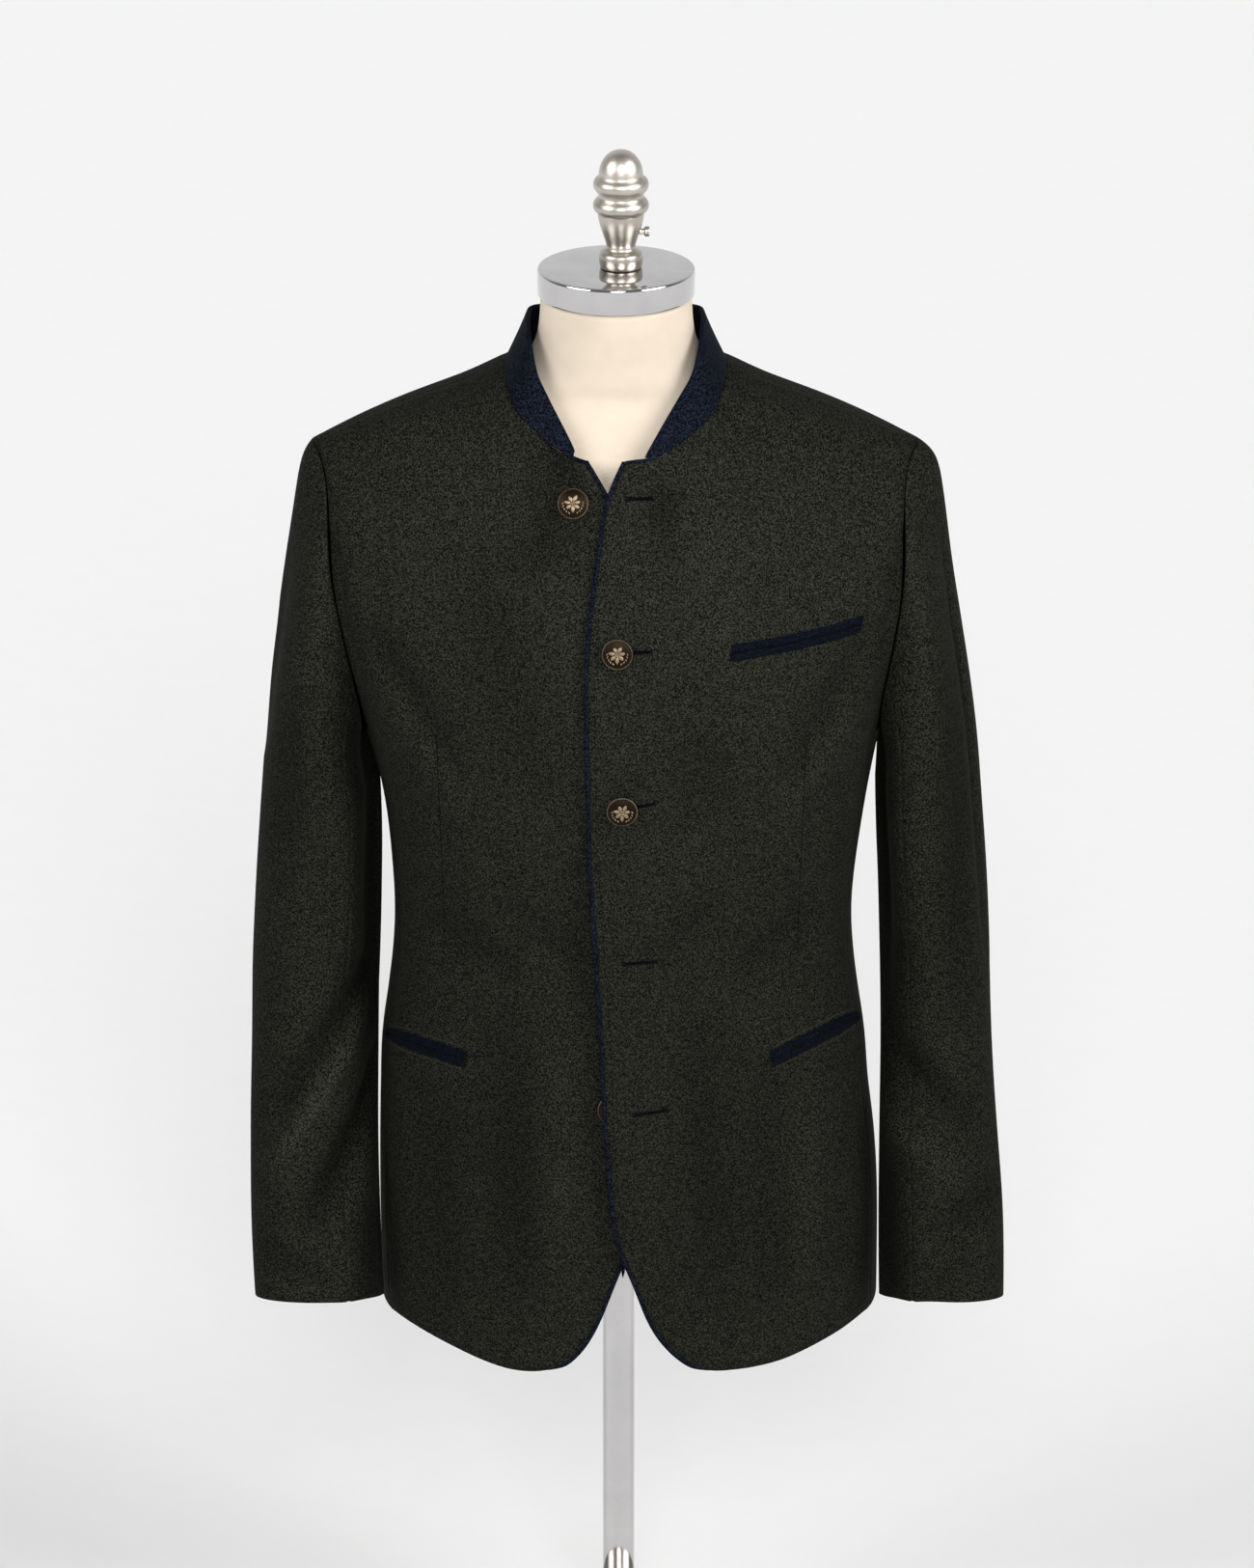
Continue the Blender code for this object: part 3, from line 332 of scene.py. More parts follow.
@dataclass(frozen=True)
class WoolFinish(Finish):
    """Milled wool cloth: dark, middle and light fibres with a short nap.

    The depth says how much painted shade darkens the cloth where it turns away from the eye; the
    trough how much painted shade darkens it in a crease, and how much a painted highlight lightens
    a ridge; the cloud how far random clouds and a painted shade towards the hem change its colour.
    """

    dark: Colour = BLACK
    middle: Colour = BLACK
    light: Colour = BLACK
    fleck_scale: float = 700.0
    cloud: float = 0.25
    nap: float = 0.0004
    depth: float = 0.80
    painted_trough_shade: float = 0.62
    sheen: float = 0.25
    sheen_tint: Colour = (0.5, 0.5, 0.5)

    def fill(self, tree: bpy.types.NodeTree, shader: bpy.types.Node) -> None:
        """Add the nodes of flecked cloth, with random clouds, painted shade towards the hem and where it
        turns away, and painted shade and highlight in its creases.
        """
        wool = placed(tree, "milled_wool", Fleck_Scale=self.fleck_scale)
        fibres = ramp(
            tree, wool.outputs["Fleck"], (0.12, self.dark), (0.5, self.middle), (0.93, self.light))
        # Random clouds and the painted shade towards the hem.
        clouds_and_painted_shade = maths(tree, "MULTIPLY_ADD", wool.outputs["Cloud"], self.cloud * 2, 1 - self.cloud)
        # Painted shade: the colour darkens where the cloth turns away from the eye.
        facing = add_node(tree, "LayerWeight", Blend=0.5).outputs["Facing"]
        painted_edge_shade = maths(tree, "MULTIPLY_ADD", maths(tree, "POWER", facing, 1.15), -self.depth, 1.0)
        # Painted shade in troughs and painted highlight on ridges, read from the crease attribute.
        painted_crease_shading = add_node(tree, "Attribute", attribute_name="painted_crease_shading").outputs["Fac"]
        painted_crease_factor = maths(tree, "MULTIPLY_ADD", painted_crease_shading, -self.painted_trough_shade, 1.0)
        shade = maths(tree, "MULTIPLY", maths(tree, "MULTIPLY", clouds_and_painted_shade, painted_edge_shade), painted_crease_factor)
        scaled = add_node(tree, "VectorMath", operation="SCALE")
        tree.links.new(fibres, scaled.inputs[0])
        tree.links.new(shade, scaled.inputs["Scale"])
        tree.links.new(scaled.outputs[0], shader.inputs["Base Color"])
        set_inputs(shader, Specular_IOR_Level=0.05, Sheen_Weight=self.sheen, Sheen_Roughness=0.45,
                   Sheen_Tint=(*self.sheen_tint, 1.0))
        bump(tree, shader, wool.outputs["Height"], self.nap)


@dataclass(frozen=True)
class LinenFinish(Finish):
    """Natural linen stretched over a form."""

    thread: Colour = BLACK
    gap: Colour = BLACK

    def fill(self, tree: bpy.types.NodeTree, shader: bpy.types.Node) -> None:
        """Add the nodes of the weave."""
        weave = placed(tree, "plain_weave")
        colour = ramp(tree, weave.outputs["Thread"], (0.2, self.gap), (0.85, self.thread))
        tree.links.new(colour, shader.inputs["Base Color"])
        set_inputs(shader, Specular_IOR_Level=0.25, Sheen_Weight=0.1)
        bump(tree, shader, weave.outputs["Height"], 0.0001, 0.6)


@dataclass(frozen=True)
class MetalFinish(Finish):
    """Handled metal, with an optional dark patina in its hollows."""

    bright: Colour = BLACK
    dull: Colour = BLACK
    grain: float = 0.0
    spread: float = 0.1
    patina: bool = False

    def fill(self, tree: bpy.types.NodeTree, shader: bpy.types.Node) -> None:
        """Add the nodes of the smears and, where wanted, the patina and the grain."""
        wear = placed(tree, "handled_metal")
        smear = wear.outputs["Smear"]
        value = smear
        if self.patina:
            relief = add_node(tree, "Attribute", attribute_name="relief").outputs["Fac"]
            raised = maths(tree, "MULTIPLY_ADD", relief, 0.95, -0.22)
            value = maths(tree, "MULTIPLY_ADD", smear, 0.5, raised)
        colour = ramp(tree, value, (0.25, self.dull), (0.75, self.bright))
        tree.links.new(colour, shader.inputs["Base Color"])
        set_inputs(shader, Metallic=1.0)
        rough = maths(tree, "MULTIPLY_ADD", smear, self.spread, self.roughness)
        tree.links.new(rough, shader.inputs["Roughness"])
        if self.grain:
            bump(tree, shader, wear.outputs["Grain"], self.grain)


@dataclass(frozen=True)
class PlainFinish(Finish):
    """A quiet even surface with faint smears, for thread and the floor."""

    colour: Colour = BLACK
    other: Colour = BLACK
    shine: float = 0.2

    def fill(self, tree: bpy.types.NodeTree, shader: bpy.types.Node) -> None:
        """Add the nodes of the two colours."""
        wear = placed(tree, "handled_metal")
        colour = ramp(tree, wear.outputs["Smear"], (0.35, self.colour), (0.65, self.other))
        tree.links.new(colour, shader.inputs["Base Color"])
        set_inputs(shader, Specular_IOR_Level=self.shine)


LODEN = WoolFinish(
    "loden_cloth", 0.95, dark=(0.0018, 0.0019, 0.0013), middle=(0.0052, 0.0055, 0.0038),
    light=(0.0325, 0.034, 0.0258), fleck_scale=1000.0, cloud=0.16, nap=0.0004, sheen=0.03,
    sheen_tint=(0.55, 0.56, 0.48))
FELT = WoolFinish(
    "navy_felt_cloth", 0.95, dark=(0.0006, 0.0010, 0.0024), middle=(0.0016, 0.0026, 0.0060),
    light=(0.0115, 0.0165, 0.0290), fleck_scale=850.0, cloud=0.10, nap=0.0003, sheen=0.03,
    sheen_tint=(0.35, 0.42, 0.62))
BANDS = WoolFinish(
    "navy_band_cloth", 0.95, dark=(0.0004, 0.0006, 0.0014), middle=(0.0012, 0.0019, 0.0042),
    light=(0.0046, 0.0072, 0.0140), fleck_scale=1050.0, cloud=0.10, nap=0.0003, sheen=0.02,
    sheen_tint=(0.35, 0.42, 0.62))
LINEN = LinenFinish("form_linen", 0.85, thread=(0.68, 0.585, 0.475), gap=(0.50, 0.425, 0.335))
BRASS = MetalFinish(
    "cast_brass", 0.34, bright=(0.34, 0.255, 0.165), dull=(0.018, 0.0125, 0.0085), grain=0.00003,
    spread=0.25, patina=True)
CHROME = MetalFinish(
    "polished_chrome", 0.03, bright=(0.64, 0.63, 0.63), dull=(0.55, 0.54, 0.54), spread=0.05)
NICKEL = MetalFinish(
    "old_nickel", 0.28, bright=(0.66, 0.62, 0.56), dull=(0.44, 0.40, 0.35), grain=0.00004, spread=0.16)
THREAD = PlainFinish(
    "buttonhole_thread", 0.8, colour=(0.0009, 0.0010, 0.0014), other=(0.0024, 0.0028, 0.0040), shine=0.04)
PICK = PlainFinish(
    "pick_thread", 0.8, colour=(0.016, 0.016, 0.013), other=(0.030, 0.030, 0.025), shine=0.05)
FLOOR = PlainFinish("pale_floor", 0.9, colour=(0.785, 0.785, 0.785), other=(0.793, 0.793, 0.793))


# ------------------------------------------------------------------ objects and meshes
def deselect() -> None:
    """Leave nothing selected, in object mode."""
    if bpy.context.object and bpy.context.object.mode != "OBJECT":
        bpy.ops.object.mode_set(mode="OBJECT")
    bpy.ops.object.select_all(action="DESELECT")


def choose(made: bpy.types.Object) -> None:
    """Leave only one object selected, and make it the active one."""
    deselect()
    made.select_set(True)
    bpy.context.view_layer.objects.active = made


@contextmanager
def editing() -> Iterator[None]:
    """Edit the active mesh with everything selected."""
    bpy.ops.object.mode_set(mode="EDIT")
    bpy.ops.mesh.select_all(action="SELECT")
    yield
    bpy.ops.object.mode_set(mode="OBJECT")


def added(name: str) -> bpy.types.Object:
    """Name the primitive that was just added and its mesh."""
    made = bpy.context.object
    made.name = name
    made.data.name = name
    return made


def linked(name: str, data: bpy.types.ID) -> bpy.types.Object:
    """A new object in the scene, on a mesh, a light or a camera."""
    made = bpy.data.objects.new(name, data)
    bpy.context.scene.collection.objects.link(made)
    return made


def smooth(mesh: bpy.types.Mesh) -> None:
    """Shade every face smoothly."""
    mesh.polygons.foreach_set("use_smooth", [True] * len(mesh.polygons))


def shaped(name: str, build: bmesh.types.BMesh) -> bpy.types.Object:
    """A new object with the mesh that was built, which is then let go."""
    mesh = bpy.data.meshes.new(name)
    build.to_mesh(mesh)
    build.free()
    return linked(name, mesh)


def corners(mesh: bpy.types.Mesh, value: str = "co") -> np.ndarray:
    """A mesh's corners, or their normals, as rows of X, Y, Z."""
    rows = np.empty(len(mesh.vertices) * 3)
    mesh.vertices.foreach_get(value, rows)
    return rows.reshape(-1, 3)


def move(made: bpy.types.Object, points: np.ndarray) -> None:
    """Put a mesh's corners at new places."""
    made.data.vertices.foreach_set("co", points.ravel())
    made.data.update()


def swell(made: bpy.types.Object, distance: float | np.ndarray) -> None:
    """Push every corner out along its normal, by one distance or by each its own."""
    move(made, corners(made.data) + corners(made.data, "normal") * distance)


def surface_of(made: bpy.types.Object) -> BVHTree:
    """A piece's surface, for laying things on it."""
    build = bmesh.new()
    build.from_mesh(made.data)
    tree = BVHTree.FromBMesh(build)
    build.free()
    return tree


def seen_at(cloth: BVHTree, x: float, height: float) -> tuple[Vector | None, Vector | None]:
    """The place and the normal of a surface, looked up straight from the front."""
    return cloth.ray_cast(Vector((x, -1.0, HEM + height)), Vector((0, 1, 0)))[:2]


def merged_copy(node: str, name: str) -> bpy.types.Object:
    """A solid's mesh as a new object with shared corners and four-sided faces.

    Args:
        node: The solid's node.
        name: The new object's name.

    Returns:
        The new object.
    """
    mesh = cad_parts[node].data.copy()
    mesh.name = name
    mesh.materials.clear()
    build = bmesh.new()
    build.from_mesh(mesh)
    bmesh.ops.remove_doubles(build, verts=build.verts, dist=0.00002)
    bmesh.ops.recalc_face_normals(build, faces=build.faces)
    bmesh.ops.join_triangles(
        build, faces=build.faces, angle_face_threshold=math.radians(35),
        angle_shape_threshold=math.radians(75))
    if build.calc_volume(signed=True) < 0:
        bmesh.ops.reverse_faces(build, faces=build.faces)
    build.to_mesh(mesh)
    build.free()
    for attribute in list(mesh.attributes):
        if attribute.name in ("sharp_face", "sharp_edge", "custom_normal"):
            mesh.attributes.remove(attribute)
    return linked(name, mesh)


FITTING_ROUNDS = 3              # times a rounded piece is fitted to its solid's corners
FITTING_SHARE = 0.8             # how much of what is missed a round makes up
FITTING_REACH = 0.003           # the furthest that a round moves a corner


def refine(made: bpy.types.Object, levels: int, hold: float, sharp: float = 50.0) -> None:
    """Round a merged solid finely through its own corners, keeping its sharp edges.

    Args:
        made: The object.
        levels: Times every face is divided.
        hold: How far sharp edges keep their place, from 0 to 1.
        sharp: The angle in degrees from which an edge is sharp.
    """
    build = bmesh.new()
    build.from_mesh(made.data)
    crease = build.edges.layers.float.get("crease_edge") or build.edges.layers.float.new("crease_edge")
    for edge in build.edges:
        edge[crease] = hold if edge.calc_face_angle(0.0) > math.radians(sharp) else 0.0
    build.to_mesh(made.data)
    build.free()
    modifier = made.modifiers.new("round", "SUBSURF")
    modifier.levels = levels
    modifier.render_levels = levels
    wanted = corners(made.data)
    for _ in range(FITTING_ROUNDS):
        rounded = made.evaluated_get(bpy.context.evaluated_depsgraph_get()).data
        missed = wanted - corners(rounded)[:len(wanted)]
        far = np.maximum(np.linalg.norm(missed, axis=1), 0.001)
        missed *= np.minimum(1.0, FITTING_REACH / far)[:, None]
        move(made, corners(made.data) + missed * FITTING_SHARE)
    choose(made)
    bpy.ops.object.modifier_apply(modifier=modifier.name)
    smooth(made.data)


def dress(made: bpy.types.Object, finish: Finish, slot: str, *nodes: str) -> None:
    """Give a finished piece its material and its body, and hide the solids it stands for."""
    made.data.materials.clear()
    made.data.materials.append(finish.made())
    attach(made, "root")
    if nodes:
        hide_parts(*nodes)
    LOG.info("%s: %d faces", made.name, len(made.data.polygons))


# ------------------------------------------------------------------ folds and creases
CREASE_DEPTH = 2.3              # multiplies every depth in the tables
CREASE_FADE = 0.6               # below 1, a crease dies out late towards its ends
FOLD_DEPTH = 0.009              # a trough of this depth gets the full painted shade, a ridge the full painted highlight


@dataclass(frozen=True)
class Crease:
    """A soft trough along a line, or a ridge where its depth is below 0.

    The line's ends are (across, height): X on the body, the way round the arm on a sleeve.
    A trough gets painted shade and a ridge a painted highlight, scaled by the crease's painted-shading
    strength.
    """

    start: tuple[float, float]
    end: tuple[float, float]
    width: float
    depth: float
    tone: float = 1.0

    def sink(self, across: np.ndarray, height: np.ndarray) -> np.ndarray:
        """How far the crease sinks each point."""
        start = np.array(self.start)
        line = np.array(self.end) - start
        aside = across - start[0]
        above = height - start[1]
        share = np.clip((aside * line[0] + above * line[1]) / (line @ line), 0.0, 1.0)
        apart = np.hypot(aside - share * line[0], above - share * line[1])
        fade = (4 * share * (1 - share)) ** CREASE_FADE
        return self.depth * CREASE_DEPTH * fade * np.exp(-(apart / self.width) ** 2)


# A fifth number scales a trough's painted shade and a ridge's painted highlight.
FRONT_CREASES = (
    Crease((-0.224, 0.690), (-0.203, 0.560), 0.006, 0.0009),
    Crease((-0.212, 0.620), (-0.180, 0.440), 0.008, 0.0012),
    Crease((0.222, 0.690), (0.204, 0.560), 0.006, 0.0009),
    Crease((0.208, 0.620), (0.186, 0.420), 0.008, 0.0012),
    Crease((0.040, 0.664), (0.030, 0.600), 0.012, 0.0015),
    Crease((0.075, 0.640), (0.062, 0.470), 0.026, -0.0016),
    Crease((-0.049, 0.700), (-0.030, 0.640), 0.011, 0.0022),
    Crease((-0.060, 0.690), (-0.052, 0.600), 0.016, 0.0015),
    Crease((0.036, 0.672), (0.030, 0.630), 0.009, 0.0012),
    Crease((-0.020, 0.640), (-0.090, 0.600), 0.018, 0.0013),
    Crease((-0.110, 0.620), (-0.060, 0.420), 0.030, 0.0017),
    Crease((0.075, 0.610), (0.055, 0.400), 0.028, 0.0015),
    Crease((-0.185, 0.560), (-0.120, 0.450), 0.014, 0.0020),
    Crease((-0.178, 0.520), (-0.110, 0.405), 0.011, -0.0013),
    Crease((0.188, 0.560), (0.128, 0.440), 0.014, 0.0019),
    Crease((0.180, 0.505), (0.118, 0.400), 0.011, -0.0012),
    Crease((-0.015, 0.300), (-0.090, 0.345), 0.014, 0.0014),
    Crease((0.010, 0.300), (0.085, 0.352), 0.013, 0.0013),
    Crease((-0.150, 0.330), (-0.070, 0.290), 0.016, 0.0017),
    Crease((0.150, 0.335), (0.080, 0.285), 0.016, 0.0016),
    Crease((-0.088, 0.270), (-0.075, 0.020), 0.026, 0.0022),
    Crease((-0.040, 0.250), (-0.052, 0.020), 0.020, -0.0012),
    Crease((-0.140, 0.200), (-0.132, 0.010), 0.018, 0.0016),
    Crease((0.060, 0.270), (0.078, 0.010), 0.024, 0.0020),
    Crease((0.110, 0.230), (0.118, 0.010), 0.019, 0.0017),
    Crease((0.142, 0.200), (0.146, 0.020), 0.012, -0.0011),
)
BACK_CREASES = (
    Crease((-0.190, 0.560), (-0.095, 0.640), 0.018, 0.0022),
    Crease((0.190, 0.560), (0.100, 0.632), 0.018, 0.0021),
    Crease((-0.150, 0.520), (-0.105, 0.330), 0.022, 0.0024),
    Crease((-0.118, 0.540), (-0.075, 0.350), 0.015, -0.0014),
    Crease((0.150, 0.520), (0.108, 0.330), 0.022, 0.0023),
    Crease((0.115, 0.530), (0.080, 0.350), 0.015, -0.0013),
    Crease((-0.150, 0.318), (-0.030, 0.335), 0.013, 0.0024),
    Crease((0.030, 0.332), (0.152, 0.322), 0.013, 0.0022),
    Crease((-0.120, 0.286), (0.020, 0.300), 0.011, 0.0016),
    Crease((0.020, 0.275), (0.130, 0.292), 0.012, 0.0015),
    Crease((-0.100, 0.250), (-0.112, 0.010), 0.024, 0.0024),
    Crease((-0.050, 0.240), (-0.045, 0.010), 0.020, -0.0014),
    Crease((0.058, 0.240), (0.050, 0.010), 0.020, 0.0018),
    Crease((0.110, 0.260), (0.122, 0.010), 0.024, 0.0023),
    Crease((-0.060, 0.705), (0.060, 0.705), 0.010, 0.0012),
)
SLEEVE_CREASES = {
    Side.RIGHT: (
        Crease((0.035, 0.110), (0.115, 0.250), 0.010, -0.0033),
        Crease((0.060, 0.075), (0.140, 0.205), 0.013, 0.0045),
        Crease((0.040, 0.160), (0.115, 0.275), 0.011, 0.0032),
        Crease((0.118, 0.540), (0.122, 0.200), 0.022, 0.0042, 1.3),
        Crease((0.085, 0.420), (0.098, 0.270), 0.012, -0.0018),
        Crease((0.040, 0.350), (0.062, 0.500), 0.016, 0.0018),
        Crease((0.010, 0.420), (0.030, 0.600), 0.022, 0.0018),
        Crease((0.020, 0.060), (0.090, 0.040), 0.012, 0.0018),
        Crease((0.125, 0.100), (0.118, -0.020), 0.022, 0.0018, 1.7),
        Crease((-0.060, 0.270), (-0.020, 0.225), 0.012, 0.0033),
        Crease((-0.075, 0.190), (-0.010, 0.180), 0.012, 0.0030),
        Crease((-0.060, 0.420), (-0.030, 0.540), 0.018, 0.0024),
        Crease((-0.115, 0.260), (-0.070, 0.215), 0.012, 0.0027),
        Crease((0.141, 0.240), (0.141, -0.130), 0.040, -0.0005),
        Crease((-0.141, 0.240), (-0.141, -0.130), 0.040, -0.0005),
    ),
    Side.LEFT: (
        Crease((0.012, 0.640), (0.002, 0.260), 0.010, -0.0005, 8.0),
        Crease((0.038, 0.620), (0.022, 0.270), 0.007, 0.0020, 1.6),
        Crease((0.050, 0.560), (0.056, 0.215), 0.016, 0.0026),
        Crease((0.085, 0.500), (0.095, 0.290), 0.016, -0.0018),
        Crease((0.118, 0.500), (0.118, 0.220), 0.020, 0.0033, 1.4),
        Crease((0.040, 0.150), (0.120, 0.225), 0.012, 0.0030),
        Crease((0.050, 0.110), (0.130, 0.170), 0.012, -0.0021),
        Crease((0.010, 0.105), (0.085, 0.075), 0.012, 0.0021),
        Crease((0.125, 0.130), (0.118, -0.020), 0.022, 0.0022, 1.7),
        Crease((0.040, 0.060), (0.090, 0.020), 0.013, 0.0015),
        Crease((-0.060, 0.250), (-0.010, 0.215), 0.012, 0.0033),
        Crease((-0.070, 0.175), (-0.020, 0.180), 0.012, 0.0027),
        Crease((-0.055, 0.430), (-0.030, 0.550), 0.018, 0.0024),
        Crease((-0.110, 0.230), (-0.075, 0.255), 0.012, 0.0027),
    ),
}
SIDE_CREASES = (
    Crease((-0.185, 0.230), (-0.185, -0.110), 0.045, -0.0007),
)
COLLAR_CREASES = (
    Crease((-0.060, 0.745), (0.000, 0.742), 0.012, 0.0006),
    Crease((0.010, 0.748), (0.062, 0.744), 0.012, 0.0005),
)
SLEEVE_RADIUS = 0.045           # turns an angle round the arm into a distance
ARM_HEIGHTS = (0.016, 0.140, 0.260, 0.400, 0.560, 0.660)
ARM_MIDDLE_X = {                # how far out the arm's middle is at these heights
    Side.LEFT: (0.2414, 0.2390, 0.2358, 0.2290, 0.2206, 0.2150),
    Side.RIGHT: (0.2240, 0.2275, 0.2253, 0.2202, 0.2195, 0.2150),
}
ARM_MIDDLE_Y = (-0.060, -0.028, -0.002, 0.004, 0.000, 0.000)
BODY_HALF = (0.19, 0.11)        # the body's half width and half depth
FRONTWARDS = 0.3                # keeps the way out towards the front or the back
SHOULDER_FROM = 0.62            # from this height on the way out turns upwards
SHOULDER_RISE = 0.10            # over this much height
SHOULDER_STEEPEST = 1.2         # and at most this far


# ------------------------------------------------------------------ cloth pieces
@dataclass
class ClothPiece:
    """A cut piece of cloth, made as a fine shell on its solid's form.

    Attributes:
        node: The solid that it stands for.
        cut: Width and length of the flat piece; not used.
        area: Flat area of the cut; not used.
        held: How the cloth is held; not used.
        finish: Its cloth.
        slot: The record's material slot; not used.
        rests_on: What carries it; not used.
        levels: Times every face of the solid is divided.
        hold: How firmly its cut edges keep their corners.
        fill: How far its surface is pushed out, to meet its neighbours.
        creases: The folds and creases in it.
    """

    node: str
    cut: tuple[float, float]
    area: float
    held: str = "stretched"
    finish: Finish = LODEN
    slot: str = "loden"
    rests_on: tuple[str, ...] = ("form_torso",)
    levels: int = 2
    hold: float = 0.85
    fill: float = 0.00022
    creases: tuple[Crease, ...] = ()

    def across_and_out(self, points: np.ndarray) -> tuple[np.ndarray, np.ndarray]:
        """Where each point lies across the piece, and which way is out.

        Args:
            points: Rows of X, Y, Z.

        Returns:
            The points' distances across, and rows of unit vectors.
        """
        away = points * np.array([1 / BODY_HALF[0], 1 / BODY_HALF[1], 0.0])
        upwards = (points[:, 2] - HEM - SHOULDER_FROM) / SHOULDER_RISE
        away[:, 2] = np.clip(upwards, 0.0, SHOULDER_STEEPEST)
        away[:, 1] += np.copysign(FRONTWARDS, points[:, 1])
        return points[:, 0], away / np.linalg.norm(away, axis=1)[:, None]

    def build(self) -> bpy.types.Object:
        """Make the piece.

        Returns:
            The dressed object.
        """
        made = merged_copy(self.node, f"{self.node}_cloth")
        refine(made, self.levels, self.hold)
        swell(made, self.fill)
        points = corners(made.data)
        across, out = self.across_and_out(points)
        sunk = np.zeros(len(points))
        # Painted shading of the creases, shade in troughs and highlight on ridges, kept as a point
        # attribute for the colour.
        tone = np.zeros(len(points))
        for crease in self.creases:
            depth = crease.sink(across, points[:, 2] - HEM)
            sunk += depth
            tone += depth * crease.tone
        move(made, points - out * sunk[:, None])
        painted_crease_shading = made.data.attributes.new("painted_crease_shading", "FLOAT", "POINT")
        painted_crease_shading.data.foreach_set("value", np.clip(tone / FOLD_DEPTH, -1.0, 1.0))
        dress(made, self.finish, self.slot, self.node)
        list(self.rests_on)
        return made


@dataclass
class SleevePiece(ClothPiece):
    """Upper or under sleeve, whose creases are placed by the way round the arm."""

    side: Side = Side.LEFT

    def across_and_out(self, points: np.ndarray) -> tuple[np.ndarray, np.ndarray]:
        """The way round the arm from its outer line, forwards first, and which way is out."""
        height = points[:, 2] - HEM
        x = points[:, 0] - self.side.value * np.interp(height, ARM_HEIGHTS, ARM_MIDDLE_X[self.side])
        y = points[:, 1] - np.interp(height, ARM_HEIGHTS, ARM_MIDDLE_Y)
        turn = np.arctan2(-y, x * self.side.value)
        out = np.stack([x, y, np.zeros(len(x))], axis=1)
        out /= np.maximum(np.linalg.norm(out, axis=1), 0.001)[:, None]
        return turn * SLEEVE_RADIUS, out


SWING = 0.0032                  # how far the left front swings open at the cutaway
SWING_HEIGHT = 0.050            # the height where it swings most
SWING_REACH = (0.060, 0.028)    # how far across and up the swing is felt


def open_edge(made: bpy.types.Object) -> None:
    """Let the left front or its piping swing open a little over the cutaway."""
    points = corners(made.data)
    across = points[:, 0] / SWING_REACH[0]
    above = (points[:, 2] - HEM - SWING_HEIGHT) / SWING_REACH[1]
    points[:, 0] += SWING * np.exp(-above ** 2 - across ** 2)
    move(made, points)


@dataclass
class JacketBody:
    """Fronts, backs and side panels.

    Attributes:
        front: Cut of a front.
        back: Cut of a half back.
        side: Cut of a side panel.
        front_areas: Flat areas of the fronts.
        back_area: Flat area of a half back.
        side_area: Flat area of a side panel.
    """

    front: tuple[float, float] = (0.300, 0.755)
    back: tuple[float, float] = (0.260, 0.745)
    side: tuple[float, float] = (0.092, 0.458)
    front_areas: dict[Side, float] = field(default_factory=lambda: {Side.LEFT: 0.170, Side.RIGHT: 0.167})
    back_area: float = 0.153
    side_area: float = 0.0375

    def build(self) -> dict[str, bpy.types.Object]:
        """Make the six panels.

        Returns:
            The pieces by the name of the solid that each stands for.
        """
        made = {}
        for side in Side:
            panels = (
                ClothPiece(f"front_{side.word}", self.front, self.front_areas[side],
                           creases=FRONT_CREASES + SIDE_CREASES),
                ClothPiece(f"back_{side.word}", self.back, self.back_area,
                           creases=BACK_CREASES + SIDE_CREASES),
                ClothPiece(f"side_{side.word}", self.side, self.side_area, held="hung",
                           rests_on=(f"front_{side.word}_cloth",), creases=SIDE_CREASES),
            )
            for panel in panels:
                made[panel.node] = panel.build()
        open_edge(made["front_left"])
        return made


@dataclass
class Sleeves:
    """Two-piece sleeves, set into the armholes.

    Attributes:
        upper: Cut of an upper sleeve.
        under: Cut of an under sleeve.
        upper_areas: Flat areas of the upper sleeves.
        under_area: Flat area of an under sleeve.
    """

    upper: tuple[float, float] = (0.225, 0.665)
    under: tuple[float, float] = (0.125, 0.495)
    upper_areas: dict[Side, float] = field(default_factory=lambda: {Side.LEFT: 0.122, Side.RIGHT: 0.127})
    under_area: float = 0.050

    def build(self) -> None:
        """Make both sleeves."""
        for side in Side:
            cuts = {"upper": (self.upper, self.upper_areas[side]), "under": (self.under, self.under_area)}
            for part, (cut, area) in cuts.items():
                SleevePiece(
                    f"sleeve_{part}_{side.word}", cut, area, held="hung",
                    rests_on=(f"front_{side.word}_cloth",), creases=SLEEVE_CREASES[side], side=side).build()


